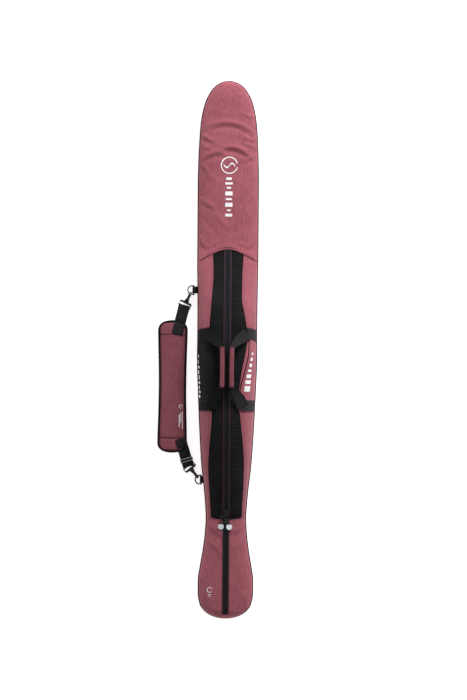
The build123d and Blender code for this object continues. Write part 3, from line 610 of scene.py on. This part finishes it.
def back_shell():
    """Back of the bag: flat where it rests, with rounded edges up to the seam."""
    a, b = np.meshgrid(np.linspace(0, 1, 260), np.linspace(-1, 1, 61), indexing="ij")
    y = np.sin((a - 0.5) * math.pi)
    y = np.sign(y) * np.abs(y) ** 0.75 * SHELL_END_Y
    w = half_width(y)
    round_off = np.minimum(24.0, 0.75 * w)
    corner = np.clip((np.abs(b) - 0.6) / 0.4, 0, 1) * math.pi / 2
    flat = np.clip(np.abs(b) / 0.6, 0, 1)
    x = np.sign(b) * ((w - round_off) * flat + round_off * np.sin(corner))
    z = 0.8 + (SEAM_Z - 0.8) * (1 - np.cos(corner))
    z = z + 0.5 * (1 + wave_noise(x, y, 5, 120.0)) * (corner > 0) * np.clip((1.5 - corner), 0, 1)
    obj = face_towards(grid_object("back_cloth", np.stack([x, y, z], -1), MAROON), (0, 0, -1))
    thicken(obj, PANEL_DEEP, LINING)
    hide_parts("back_panel", "back_foam", "inner_lining")
    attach(obj, "bag")


def piping():
    """Thin black piping round the whole edge."""
    y = np.sin(np.linspace(-math.pi / 2, math.pi / 2, 320))
    y = np.sign(y) * np.abs(y) ** 0.8 * END_Y
    w = half_width(y) + 1.3
    right = np.stack([w, y, np.full_like(y, SEAM_Z)], -1)
    left = np.stack([-w, y, np.full_like(y, SEAM_Z)], -1)[::-1]
    obj = tube("piping_tube", np.concatenate([right, left]), 1.9, BINDING, 10, closed=True)
    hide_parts("piping")
    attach(obj, "bag")


# ---------------------------------------------------------------- mesh windows and zipper
def net_half(side):
    """Half of the mesh window, from the sewn edge to the zipper."""
    def t_of(a, b, y):
        x = np.minimum(window_x(np.maximum(y, WINDOW_START_Y), side) + 3.0, half_width(y) * 0.985)
        closing = np.sqrt(np.clip(1 - ((y - WINDOW_FOOT_Y) / -13.0) ** 2, 0, 1))
        foot = np.where(y < WINDOW_FOOT_Y, closing, 1.0)
        outer = section_t(np.maximum(x * foot, 4.0), y)
        inner = section_t(np.full_like(y, 2.5), y)
        return side * (outer + (inner - outer) * b)

    def y_of(a, b):
        end = 331.0 - 10.0 * ((1 - b) ** 2)
        return -559.0 + (end + 559.0) * a
    points = patch(t_of, y_of, 300, 22, 0.35)
    points[..., 2] -= 1.6
    name = SIDE_NAME[side]
    obj = face_towards(grid_object("net_" + name, points, NET), (0, 0, 1))
    thicken(obj, 1.4, LINING)
    ends = ("mesh_end_nose",) if side < 0 else ("mesh_end_waist",)
    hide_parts("mesh_" + name, *ends)
    flap_blend(obj)


def eased(share):
    """A share from 0 to 1, with a soft start and end."""
    return share * share * (3 - 2 * share)


def flap_weights(x, y):
    """How far a point of the window follows its flap: none at the sewn edges, all at the zipper."""
    y_in = np.clip(y, WINDOW_START_Y, 313)
    outer = np.minimum(np.where(x < 0, window_x(y_in, -1), window_x(y_in, 1)) + 3.0, 66.0)
    across = eased(np.clip((outer - np.abs(x)) / (outer - 14.0), 0, 1))
    ends = eased(np.clip((y - WINDOW_START_Y) / 60.0, 0, 1) * np.clip((322.0 - y) / 60.0, 0, 1))
    return across * ends


def flap_blend(obj):
    """Bakes a piece's transform and works out its weights between the bag and its flap; the weights are not
    stored.
    """
    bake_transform(obj)
    set_weights(obj, lambda x, y, z: flap_weights(x, y))


def set_weights(obj, weight_of):
    """Works out blend weights, from 0 at the first body to 1 at the second; they are not written to the
    mesh.
    """
    co = np.empty(len(obj.data.vertices) * 3)
    obj.data.vertices.foreach_get("co", co)
    co = co.reshape(-1, 3) / MM
    weights = np.asarray(weight_of(co[:, 0], co[:, 1], co[:, 2]), float)


def centre_top(y, lift):
    return surface(np.zeros_like(y), y) + lift


def zipper_half(side, name, start, end, tape_mat, outer):
    """Tape, stitch line, coil and its teeth of one half of a zipper."""
    count = 260 if end > 0 else 110
    y = np.linspace(start, end, count)
    zero = np.zeros_like(y)
    pieces = []
    rows = []
    for x, lift in ((outer, 0.4), (outer, 1.9), (0.5, 2.3), (0.5, 1.2)):
        rows.append(np.stack([zero + side * x, y, centre_top(y, lift)], -1))
    ring = np.stack(rows, 1)
    if side > 0:
        ring = ring[:, ::-1]
    pieces.append(grid_object("tape", ring, tape_mat, close=True))
    for x, mat, r in ((outer - 1.3, PINK_THREAD, 0.5), (7.4, COIL, 0.3)):
        path = np.stack([zero + side * x, y, centre_top(y, 2.0)], -1)
        pieces.append(tube("stitch", path, r, mat, 6))
    core = np.stack([zero + side * 2.1, y, centre_top(y, 0.2)], -1)
    pieces.append(tube("core", core, 1.2, COIL, 8))
    pieces.append(teeth(side, start, end))
    return join(name, pieces)


def teeth(side, start, end):
    """Coil turns along one half of the zipper."""
    verts, faces = [], []
    pitch = 2.6
    steps = int((end - start) / pitch)
    for i in range(steps):
        y = start + pitch * (i + (0.25 if side < 0 else 0.75))
        z = float(centre_top(np.array([y]), 0.5)[0])
        x0, x1 = side * -0.3, side * 3.6
        base = len(verts)
        for x, lift in ((x0, -0.8), (x0, 0.9), (x1, 0.9), (x1, -0.8)):
            for dy in (-0.75, 0.75):
                verts.append((x * MM, (y + dy) * MM, (z + lift) * MM))
        for k in range(4):
            n = (k + 1) % 4
            faces.append((base + 2 * k, base + 2 * n, base + 2 * n + 1, base + 2 * k + 1))
        faces.append((base, base + 2, base + 4, base + 6))
        faces.append((base + 7, base + 5, base + 3, base + 1))
    obj = mesh_object("teeth", verts, faces, COIL)
    bm = bmesh.new()
    bm.from_mesh(obj.data)
    bmesh.ops.recalc_face_normals(bm, faces=bm.faces)
    bm.to_mesh(obj.data)
    bm.free()
    return obj


def window_zipper(side):
    name = SIDE_NAME[side]
    obj = zipper_half(side, "zip_chain_" + name, -545.0, 326.0, TAPE, 12.4)
    stub = "zip_stub_nose" if side < 0 else "zip_stub_waist"
    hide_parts("zip_tape_" + name, "zip_coil_" + name, stub)
    flap_blend(obj)


def tail_zipper(side):
    name = SIDE_NAME[side]
    obj = zipper_half(side, "tail_chain_" + name, -866.0, -548.0, TAIL_TAPE, 11.0)
    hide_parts("tail_tape_" + name, "tail_coil_" + name)
    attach(obj, "bag")


# ---------------------------------------------------------------- trims on the shell
def surface_normal(x, y):
    """Unit normal of the smooth upper surface."""
    e = 1.0
    dx = (surface(x + e, y) - surface(x - e, y)) / (2 * e)
    dy = (surface(x, y + e) - surface(x, y - e)) / (2 * e)
    n = np.stack([-dx, -dy, np.ones_like(dx)], -1)
    return unit(n)


def nose_seam_trim():
    """Lap of the nose cover over the window: rolled edge and a stitch line."""
    x = np.linspace(-90, 90, 90)
    y = nose_seam_y(x)
    edge = tube("nose_seam_edge", lifted(x, y + 1.0, 0.4), 2.0, MAROON, 8)
    stitch = tube("nose_seam_stitch", lifted(x, y + 6.5, 0.15), 0.45, DARK_THREAD, 6)
    obj = join("nose_seam", [edge, stitch])
    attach(obj, "bag")


def window_edge(side):
    """Rolled edge of the side panel along the mesh window."""
    foot_y = WINDOW_FOOT_Y - 10.0 * np.sin(np.linspace(0.1, math.pi / 2, 14))
    pieces = []
    for y in (np.linspace(309, 40, 90), np.concatenate([np.linspace(-192, WINDOW_FOOT_Y, 110), foot_y])):
        past = (np.minimum(y, WINDOW_FOOT_Y) - WINDOW_FOOT_Y) / -10.5
        foot = np.sqrt(np.clip(1 - past ** 2, 0, 1))
        x = side * np.maximum(window_x(np.maximum(y, WINDOW_START_Y), side) * foot, 13.0)
        pieces.append(tube("edge", lifted(x, y, 0.1), 1.3, MAROON, 8))
        pieces.append(tube("edge_thread", lifted(x + side * 5.0, y, 0.1), 0.35, DARK_THREAD, 6))
    if side > 0:
        y = np.linspace(40, -192, 90)
        pieces.append(tube("edge", lifted(window_x(y, side), y, 0.1), 1.3, MAROON, 8))
    obj = join("window_edge_" + SIDE_NAME[side], pieces)
    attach(obj, "bag")


def wall_piping():
    """Black piping down the right wall between the bands, beside the window."""
    y = np.linspace(34, -168, 70)
    x = smooth_table([(-168, 40), (-132, 43), (-74, 57), (-13, 70), (30, 72)], y)
    obj = tube("wall_piping", lifted(x, y, 0.6), 1.7, BINDING, 8)
    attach(obj, "bag")


def band(side, x_in, y_in, y_out, wide_in, wide_out, name, material):
    """Webbing reinforcement sewn over the side wall from the window to the edge seam."""
    t0 = float(section_t(np.array([x_in]), np.array([y_in]))[0])
    t = np.linspace(t0, 0.985, 46)
    share = (t - t0) / (0.985 - t0)
    y = y_in + (y_out - y_in) * share
    x, z = section_point(y, t * side)
    normal = np.gradient(np.stack([x, y, z], -1), axis=0)
    across = np.stack([np.zeros_like(y), np.ones_like(y), np.zeros_like(y)], -1)
    out = np.cross(normal, across)
    out = unit(out)
    out = out * np.sign(out[:, 2:3] + out[:, 0:1] * side * 0.5 + 1e-6)
    path = np.stack([x, y, z], -1) + out * 1.5
    wide = wide_in + (wide_out - wide_in) * share
    web = strip(name, path, across, wide, 1.8, material)
    lines = []
    for edge in (-1, 1):
        line = path + across * (edge * (wide / 2 - 3.0))[:, None] + out * 1.0
        lines.append(tube("band_stitch", line, 0.35, DARK_THREAD, 6))
    obj = join(name + "_band", [web] + lines)
    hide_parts(name)
    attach(obj, "bag")


# ---------------------------------------------------------------- handles
GRIP_MID_Y = -55.0
GRIP_END_Y = (-124.0, 10.5)


def handle(side):
    """Webbing loop of one handle: wide feet on the bands, gathered into the grip."""
    name = SIDE_NAME[side]
    _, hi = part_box("handle_grip_" + name)
    core_z = hi[2] / MM - 7.0
    # out from the middle, along the bag, and the share of the way up to the grip
    plan = [(66, 52, 0.0), (54, 45, 0.02), (40, 33, 0.22), (28, 22, 0.55), (20, 13, 0.86), (16.5, 4, 1.0),
            (15, -30, 1.0), (15, -58, 1.0), (15, -90, 1.0), (16.5, -117, 1.0), (19, -127, 0.86),
            (26, -139, 0.55), (36, -154, 0.22), (46, -173, 0.02), (52, -189, 0.0)]
    plan = np.array(plan, float)
    keys = np.linspace(0, 1, len(plan))
    s = np.linspace(0, 1, 96)
    soft = [np.convolve(np.pad(np.interp(s, keys, plan[:, k]), 4, "edge"), np.ones(9) / 9, "valid")
            for k in range(3)]
    x, y, up = side * soft[0], soft[1], np.clip(soft[2], 0, 1)
    low = surface(x, y) + 3.4
    grip_z = core_z + arc_top(y) - arc_top(np.array([GRIP_MID_Y]))
    z = low + (np.maximum(grip_z, low) - low) * up
    path = np.stack([x, y, z], -1)
    flow = np.gradient(path, axis=0)
    normal = surface_normal(x, y)
    tilt = np.array([0.0, 0.0, 1.0])[None]
    normal = normal * (1 - up[:, None]) + tilt * up[:, None]
    across = np.cross(flow, normal)
    across = unit(across)
    wide = 42.0 - 24.0 * up
    # the left handle's webbing carries painted shade, as it faces away from the key light
    web = strip("handle_web_cloth_" + name, path, across, wide, 2.2, WEB_PAINTED_SHADE if side < 0 else WEB)
    edges = []
    for e in (-1, 1):
        edges.append(tube("rolled", path + across * (e * (wide / 2 - 1.2))[:, None], 1.7, BINDING, 8))
    web = join("handle_webbing_" + name, [web] + edges)
    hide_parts("handle_web_" + name)
    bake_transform(web)

    def lift_share(px, py, pz):
        a = np.clip((46.0 - py) / 36.0, 0, 1)
        b = np.clip((py + 178.0) / 52.0, 0, 1)
        return eased(np.minimum(a, b))
    set_weights(web, lift_share)


def grip(side):
    """Padded cloth sleeve round the webbing, with a rolled black edge on its inner side."""
    name = SIDE_NAME[side]
    lo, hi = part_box("handle_grip_" + name)
    z0 = (lo[2] + hi[2]) / 2 / MM + 1.2
    cols = 40
    y = np.linspace(*GRIP_END_Y, 60)
    a = np.linspace(0, 2 * math.pi, cols, endpoint=False)
    ends = np.clip((y - GRIP_END_Y[0]) / 9.0, 0, 1) * np.clip((GRIP_END_Y[1] - y) / 9.0, 0, 1)
    swell = 0.84 + 0.16 * np.sqrt(ends) + 0.014 * np.sin(y / 6.3) + 0.012 * np.sin(y / 2.9 + 1)
    n = 2.8
    ca, sa = np.cos(a), np.sin(a)
    k = (np.abs(ca) ** n + np.abs(sa) ** n) ** (-1 / n)
    drop = arc_top(y) - arc_top(np.array([GRIP_MID_Y]))
    cx = side * (15.4 + 0.5 * np.sin(y / 40.0))
    ring = np.stack([cx[:, None] + (7.8 * swell)[:, None] * (ca * k)[None], np.repeat(y[:, None], cols, 1),
                     z0 + drop[:, None] + (7.6 * swell)[:, None] * (sa * k)[None]], -1)
    sleeve = grid_object("sleeve", ring, GRIP_CLOTH, close=True)
    pieces = [sleeve]
    for shift, lift, r in ((-9.6, 3.4, 2.9), (-9.2, -2.4, 2.6), (7.5, 1.0, 1.1)):
        line = np.stack([cx + side * shift, y, z0 + drop + lift], -1)
        pieces.append(tube("grip_edge", line, r, BINDING, 10))
    for row in (1, len(y) - 2):
        pieces.append(tube("grip_end", ring[row], 1.3, BINDING, 6, closed=True, up=(0, 1, 0)))
    obj = join("grip_sleeve_" + name, pieces)
    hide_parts("handle_grip_" + name)
    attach(obj, "handle_" + name)


# ---------------------------------------------------------------- shoulder pad and strap
PAD_X = -179.0
PAD_Y = -122.0
PAD_HALF_LONG = 217.0
PAD_SEAMS = (47.5, -292.5)  # cross seams
PAD_EDGE_IN = 3.4           # the cushion stops this far inside the pad's outline
PAD_RIM_IN = 2.6            # so does the middle of the binding, at the two ends
PAD_UNDER = 2.2


def pad_half_width(y):
    """Half width of the pad at a place along it, with rounded ends."""
    u = (np.asarray(y, float) - PAD_Y) / PAD_HALF_LONG
    body = 48.6 - 4.0 * np.cos(np.clip(u, -1, 1) * math.pi / 2 * 0.9) ** 2
    end = 34.0
    reach = np.clip((np.abs(u) * PAD_HALF_LONG - (PAD_HALF_LONG - end)) / end, 0, 1)
    return body * (1 - reach ** 2.6) ** (1 / 2.6)


def pad_top(x, y):
    """Height of the crowned pad: low at the binding and at both cross seams."""
    w = np.maximum(pad_half_width(y) - 2.0, 1.0)
    r = np.clip(np.abs(x - PAD_X) / w, 0, 1)
    along = np.clip((PAD_HALF_LONG - np.abs(y - PAD_Y)) / 30.0, 0, 1)
    crown = 4.4 * (1 - r ** 2.6) * (1 - (1 - along) ** 2.4)
    dip = 3.6 * np.clip((r - 0.80) / 0.08, 0, 1) ** 1.5
    dip = np.maximum(dip, 3.6 * np.clip((np.abs(y - PAD_Y) - PAD_HALF_LONG + 10.5) / 4.0, 0, 1))
    seams = sum(2.4 * np.exp(-((y - s) / 2.6) ** 2) for s in PAD_SEAMS)
    pull = 0.5 * wave_noise(x, y, 21, 60.0) + 0.4 * wave_noise(x, y, 22, 24.0)
    return 10.8 + crown - dip - seams * (1 - 0.4 * r) + pull * (1 - r ** 4)


def pad_point(x, y, lift):
    return np.stack([x, y, pad_top(x, y) + lift], -1)


def pad():
    """Padded shoulder pad: crowned face, flat back, black binding and cross seams."""
    rows, cols = 200, 30
    a, b = np.meshgrid(np.linspace(-1, 1, rows), np.linspace(-1, 1, cols), indexing="ij")
    y = PAD_Y + np.sign(a) * np.sin(np.abs(a) * math.pi / 2) ** 0.9 * (PAD_HALF_LONG - PAD_RIM_IN)
    x = PAD_X + b * (pad_half_width(y) - PAD_EDGE_IN)
    top_side = pad_point(x, y, 0.0)
    under = np.stack([x, y, PAD_UNDER - 1.0 * (1 - b ** 4)], -1)
    # the cushion's cloth holds painted shade: it is a darker copy of the maroon
    faces_up = grid_object("pad_up", top_side[:, ::-1], PAD_CLOTH_PAINTED_SHADE)
    faces_down = grid_object("pad_down", under, PAD_CLOTH_PAINTED_SHADE)
    rim_y = y[:, 0]
    walls = []
    for s in (-1, 1):
        edge_x = PAD_X + s * (pad_half_width(rim_y) - PAD_EDGE_IN)
        hi = pad_point(edge_x, rim_y, 0.0)
        lo = np.stack([edge_x, rim_y, np.full_like(rim_y, PAD_UNDER)], -1)
        wall = np.stack([lo, hi], 1)
        walls.append(grid_object("wall", wall if s > 0 else wall[:, ::-1], PAD_CLOTH_PAINTED_SHADE))
    cushion = join("cushion", [faces_up, faces_down] + walls)
    rim_u = np.sin(np.linspace(-math.pi / 2, math.pi / 2, 160))
    edge_y = PAD_Y + rim_u * PAD_HALF_LONG
    edge_w = np.maximum(pad_half_width(edge_y) - 2.9, 0.0)
    edge_y = PAD_Y + rim_u * (PAD_HALF_LONG - PAD_RIM_IN)
    right = np.stack([PAD_X + edge_w, edge_y], -1)
    left = np.stack([PAD_X - edge_w, edge_y], -1)[::-1]
    rim = np.concatenate([right, left, right[:1]])
    step = np.concatenate([[0], np.cumsum(np.linalg.norm(np.diff(rim, axis=0), axis=1))])
    even = np.linspace(0, step[-1], 420, endpoint=False)
    rx, ry = np.interp(even, step, rim[:, 0]), np.interp(even, step, rim[:, 1])
    rz = np.full_like(rx, 7.0)
    edge = tube("pad_edge", np.stack([rx, ry, rz], -1), 3.6, BINDING, 14, closed=True, flat=1.72)
    parts = [cushion, edge]
    for s in PAD_SEAMS:
        w = pad_half_width(np.array([s]))[0] - 4.0
        x = np.linspace(PAD_X - w, PAD_X + w, 30)
        parts.append(tube("cross_seam", pad_point(x, np.full_like(x, s), 0.3), 0.9, BINDING, 6))
        inside = np.full_like(x, s + math.copysign(5, -s))
        parts.append(tube("cross_stitch", pad_point(x, inside, 0.1), 0.4, DARK_THREAD, 6))
    obj = join("shoulder_pad", parts)
    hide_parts("pad_face", "pad_foam", "pad_back", "pad_binding")
    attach(obj, "strap")


def strap_end(name, bar, sewn, node):
    """Strap webbing: folded round the loop's bar, along to the pad, sewn down in a box with a cross."""
    bar, sewn = np.array(bar, float), np.array(sewn, float)
    run = float(np.linalg.norm(sewn - bar[:2]))
    flat = (sewn - bar[:2]) / run
    side_way = np.array([-flat[1], flat[0], 0.0])
    turn = np.linspace(-math.pi / 2, math.pi / 2, 12)
    along = [14.0, 9.0, 4.0] + list(-3.4 * np.cos(turn[1:-1])) + [4.0, 10.0]
    high = [0.3, -1.6, -3.5] + list(3.6 * np.sin(turn[1:-1])) + [3.5, 2.2]
    along += list(np.linspace(16.0, run - 66.0, 8)) + [run - 58.0, run - 50.0]
    high += [1.6] * 8 + [3.0, 5.2]
    patch_s = np.linspace(run - 45.0, run, 22)
    px, py = bar[0] + flat[0] * patch_s, bar[1] + flat[1] * patch_s
    along += list(patch_s)
    high += list(pad_top(px, py) + 1.3 - bar[2])
    along, high = np.array(along), np.array(high)
    path = np.stack([bar[0] + flat[0] * along, bar[1] + flat[1] * along, bar[2] + high], -1)
    pieces = [strip("run", path, np.tile(side_way, (len(path), 1)), 37.5, 1.8, WEB)]
    corners = [(-14, run - 42), (14, run - 42), (14, run - 4), (-14, run - 4)]
    box = list(zip(corners, corners[1:] + corners[:1]))
    cross = [(corners[0], corners[2]), (corners[1], corners[3])]
    for (c0, s0), (c1, s1) in box + cross:
        line = []
        for f in np.linspace(0, 1, 14):
            middle = bar[:2] + flat * (s0 + (s1 - s0) * f)
            at = middle + side_way[:2] * (c0 + (c1 - c0) * f)
            line.append([at[0], at[1], pad_top(middle[0], middle[1]) + 2.3])
        pieces.append(tube("box_stitch", line, 0.4, COIL, 6))
    obj = join(name, pieces)
    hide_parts(node)
    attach(obj, "strap")


def hook_barrel(name, start, end, body):
    """Black cover of a snap hook: a barrel round the swivel and a shoulder across the loop's inner bar."""
    start, end = np.array(start, float), np.array(end, float)
    share = np.linspace(0, 1, 24)
    swell = 4.6 + 1.8 * np.sin(share * math.pi) ** 0.6 - 0.5 * np.exp(-((share - 0.55) / 0.06) ** 2)
    barrel = tube("barrel", start + (end - start) * share[:, None], swell, BLACK_PLASTIC, 20)
    way = unit(end - start)
    wide = unit(np.cross(way, (0.0, 0.0, 1.0)))
    ends = np.linspace(-20.2, 20.2, 30)
    taper = 3.7 * np.clip(1 - (np.abs(ends) / 20.3) ** 8, 0.02, 1) ** 0.5
    shoulder = tube("shoulder", end + way * 4.6 + wide * ends[:, None], taper, BLACK_PLASTIC, 14, flat=0.9)
    obj = join(name, [barrel, shoulder])
    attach(obj, body)


def tab(node, name):
    """Webbing tab folded round a D-ring's bar and sewn into the edge seam."""
    lo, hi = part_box(node)
    lo, hi = np.array(lo) / MM, np.array(hi) / MM
    mid_y = (lo[1] + hi[1]) / 2
    inner, outer = hi[0] - 1.0, lo[0] + 3.6
    angle = np.linspace(math.pi / 2, 3 * math.pi / 2, 14)
    path = [(inner, mid_y, SEAM_Z + 2.9)]
    path += [(outer + 3.3 * math.cos(a), mid_y, SEAM_Z + 3.2 * math.sin(a)) for a in angle]
    path += [(inner, mid_y, SEAM_Z - 2.9)]
    across = np.tile(np.array([0.0, 1.0, 0.0]), (len(path), 1))
    obj = strip(name, path, across, 23.0, 1.5, WEB_X)
    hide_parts(node)
    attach(obj, "bag")


# ---------------------------------------------------------------- printed marks
def print_patch(name, outline, height_of, lift):
    """A flat printed shape laid on a surface: outline points in plan, mm."""
    mesh = bpy.data.meshes.new(name)
    bm = bmesh.new()
    bm.faces.new([bm.verts.new((x, y, 0)) for x, y in outline])
    bm.normal_update()
    bmesh.ops.triangulate(bm, faces=bm.faces[:])
    for _ in range(7):
        long_edges = [e for e in bm.edges if e.calc_length() > 5.0]
        if not long_edges:
            break
        bmesh.ops.subdivide_edges(bm, edges=long_edges, cuts=1)
        bmesh.ops.triangulate(bm, faces=bm.faces[:])
    for v in bm.verts:
        z = height_of(np.array([v.co.x]), np.array([v.co.y]))[0] + lift
        v.co = Vector((v.co.x * MM, v.co.y * MM, float(z) * MM))
    bmesh.ops.recalc_face_normals(bm, faces=bm.faces)
    if sum(f.normal.z for f in bm.faces) < 0:
        bmesh.ops.reverse_faces(bm, faces=bm.faces)
    bm.to_mesh(mesh)
    bm.free()
    mesh.materials.append(PRINT)
    return new_object(name, mesh)


def ring_outline(cx, cy, radius, wide, start, sweep, steps=40):
    """Outline of an open ring."""
    angles = [start + sweep * i / steps for i in range(steps + 1)]
    outer = [(cx + radius * math.cos(a), cy + radius * math.sin(a)) for a in angles]
    inner_radius = radius - wide
    inner = [(cx + inner_radius * math.cos(a), cy + inner_radius * math.sin(a)) for a in angles[::-1]]
    return outer + inner


def stripe(x0, y0, x1, y1, wide):
    """Outline of a straight stripe."""
    d = np.array([x1 - x0, y1 - y0], float)
    n = np.array([-d[1], d[0]]) / np.linalg.norm(d) * wide / 2
    return [(x0 + n[0], y0 + n[1]), (x1 + n[0], y1 + n[1]), (x1 - n[0], y1 - n[1]), (x0 - n[0], y0 - n[1])]


def nose_prints():
    """Generic marks on the nose: a ring with a wave line and a column of plain bars below."""
    shapes = [ring_outline(3, 604, 28, 3.2, 0.25, 5.8)]
    wave_top = [(3 + x, 604 + 7 * math.sin(x / 17.0 * math.pi) + 2.2) for x in np.linspace(-19, 19, 16)]
    wave_low = [(x, y - 5.0) for x, y in wave_top[::-1]]
    shapes.append(wave_top + wave_low)
    bars = [(564, 556, 18), (548, 541, 24), (533, 527, 14), (518, 505, 24), (496, 490, 20),
            (481, 468, 24), (459, 454, 12), (445, 436, 22)]
    for hi, lo, wide in bars:
        shapes.append([(2 - wide / 2, lo), (2 + wide / 2, lo), (2 + wide / 2, hi), (2 - wide / 2, hi)])
    obj = join("nose_marks", [print_patch("mark", s, shell_height, 0.25) for s in shapes])
    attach(obj, "bag")


def side_print(side):
    """Generic bars down the wall over the boots: short dashes on the left, a slanted column on the right."""
    pieces = []
    if side > 0:
        bars = [(-136, -118, 65.5, 18), (-111, -99, 68.0, 17), (-92, -80, 70.5, 14), (-72, -64, 73.5, 11),
                (-56, -45, 76.5, 8), (-36, -26, 79.5, 6), (-17, -9, 82.0, 4.5)]
        for lo, hi, x, wide in bars:
            left, right = x - wide / 2, x + wide / 2
            outline = [(left, lo), (right, lo), (right + 1.5, hi), (left + 1.5, hi)]
            pieces.append(print_patch("bar", outline, shell_height, 0.5))
    else:
        for lo, hi, t0, t1 in [(-158, -148, 0.64, 0.76), (-142, -134, 0.62, 0.74), (-130, -118, 0.66, 0.76),
                               (-112, -104, 0.62, 0.75), (-98, -84, 0.64, 0.70), (-80, -68, 0.66, 0.76),
                               (-62, -54, 0.63, 0.74), (-46, -34, 0.68, 0.74), (-26, -18, 0.66, 0.72)]:
            y, t = np.meshgrid(np.linspace(lo, hi, 5), np.linspace(t0, t1, 6), indexing="ij")
            x, z = section_point(y, -t)
            points = np.stack([x - 0.7, y, z + 0.5], -1)
            pieces.append(face_towards(grid_object("dash", points, PRINT), (-1, 0, 0.4)))
    obj = join("side_marks_" + SIDE_NAME[side], pieces)
    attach(obj, "bag")


def tail_print():
    """Small generic mark beside the tail zipper."""
    shapes = [ring_outline(-52, -787, 9.0, 2.0, 0.4, 5.2, 24), stripe(-58, -803, -46, -803, 2.0),
              stripe(-57, -808, -48, -808, 1.4)]
    obj = join("tail_marks", [print_patch("mark", s, shell_height, 0.25) for s in shapes])
    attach(obj, "bag")


def pad_print():
    """Generic marks on the pad."""
    shapes = [stripe(-156, -214, -156, -256, 2.6), stripe(-151, -208, -151, -240, 2.6),
              stripe(-146, -204, -146, -262, 2.2), ring_outline(-151, -188, 6.4, 1.8, 0.0, 5.4, 24)]
    obj = join("pad_marks", [print_patch("mark", s, pad_top, 0.3) for s in shapes])
    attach(obj, "strap")


# ---------------------------------------------------------------- carried-over parts
def hardware():
    """Materials for the parts that keep their CAD shape."""
    looks = {"strap_adjuster": STEEL, "zip_stops": BLACK_PLASTIC}
    for end in ("upper", "lower"):
        for part in ("d_ring_", "snap_hook_", "hook_loop_", "hook_gate_"):
            looks[part + end] = BLACK_PLASTIC
    for end in ("nose", "tail"):
        looks["slider_" + end] = PAINTED
        looks["pull_stem_" + end] = BLACK_PLASTIC
        looks["pull_disc_" + end] = PALE_PLASTIC
    for node, material in looks.items():
        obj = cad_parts[node]
        obj.data.materials.clear()
        obj.data.materials.append(material)
        obj.data.polygons.foreach_set("material_index", [0] * len(obj.data.polygons))


# ---------------------------------------------------------------- setting
def area_light(name, place, size, power_w):
    """Area light that looks at the origin."""
    data = bpy.data.lights.new(name, "AREA")
    data.shape = "RECTANGLE"
    data.size, data.size_y = size
    data.energy = power_w
    obj = new_object(name, data)
    obj.location = place
    obj.rotation_euler = (-Vector(place)).to_track_quat("-Z", "Y").to_euler()
    return obj


def setting():
    """Pale floor, soft studio light and the camera above."""
    mat, _, shader = principled("floor_paper", (0.94, 0.94, 0.94), 0.9, Emission_Strength=0.74)
    shader.inputs["Emission Color"].default_value = (1, 1, 1, 1)
    floor = mesh_object("floor", [(-9, -9, 0), (9, -9, 0), (9, 9, 0), (-9, 9, 0)], [(0, 1, 2, 3)], mat)
    world = bpy.data.worlds.new("studio")
    world.use_nodes = True
    background = world.node_tree.nodes["Background"]
    background.inputs["Color"].default_value = (1, 1, 1, 1)
    background.inputs["Strength"].default_value = 0.33
    bpy.context.scene.world = world
    key = area_light("key", (1.35, 3.6, 2.6), (1.2, 1.2), 194.0)
    top_light = area_light("top", (0.5, 1.4, 4.0), (2.0, 2.0), 8.0)
    fill = area_light("fill", (-2.6, -0.5, 2.6), (2.0, 3.0), 5.0)
    data = bpy.data.cameras.new("camera")
    data.lens = 125
    data.sensor_fit = "VERTICAL"
    data.sensor_height = 24
    camera = new_object("camera", data)
    camera.location = (0.0207, -0.001, 12.0)
    camera.rotation_euler = (0, 0, 0.00733)
    bpy.context.scene.camera = camera
    bpy.context.scene.view_settings.view_transform = "Standard"


back_shell()
nose_cover()
piping()
nose_seam_trim()
for side in (-1, 1):
    side_panel(side)
    net_half(side)
    window_zipper(side)
    tail_zipper(side)
    window_edge(side)
    handle(side)
    grip(side)
    side_print(side)
# the left bands carry painted shade in their webbing colour
band(-1, 56.0, 52.0, 38.0, 42.0, 40.0, "band_upper_left", WEB_PAINTED_SHADE)
band(1, 63.0, 54.0, 37.0, 38.0, 36.0, "band_upper_right", WEB_X)
band(-1, 50.0, -182.0, -184.0, 36.0, 36.0, "band_lower_left", WEB_PAINTED_SHADE)
band(1, 45.0, -182.0, -182.0, 36.0, 36.0, "band_lower_right", WEB_X)
wall_piping()
pad()
# the outer bar of each hook's loop and the end of the sewn webbing; then both ends of each swivel
strap_end("strap_upper_cloth", (-142.5, 142.1, 8.1), (-165.5, 48.0), "strap_web_upper")
strap_end("strap_lower_cloth", (-125.2, -382.2, 8.1), (-152.5, -294.0), "strap_web_lower")
hook_barrel("hook_barrel_upper", (-130.0, 167.5, 19.5), (-134.9, 157.6, 15.0), "hook_upper")
hook_barrel("hook_barrel_lower", (-107.0, -404.0, 19.5), (-114.1, -395.4, 15.0), "hook_lower")
tab("d_ring_tab_upper", "ring_tab_upper")
tab("d_ring_tab_lower", "ring_tab_lower")
nose_prints()
tail_print()
pad_print()
hardware()
setting()
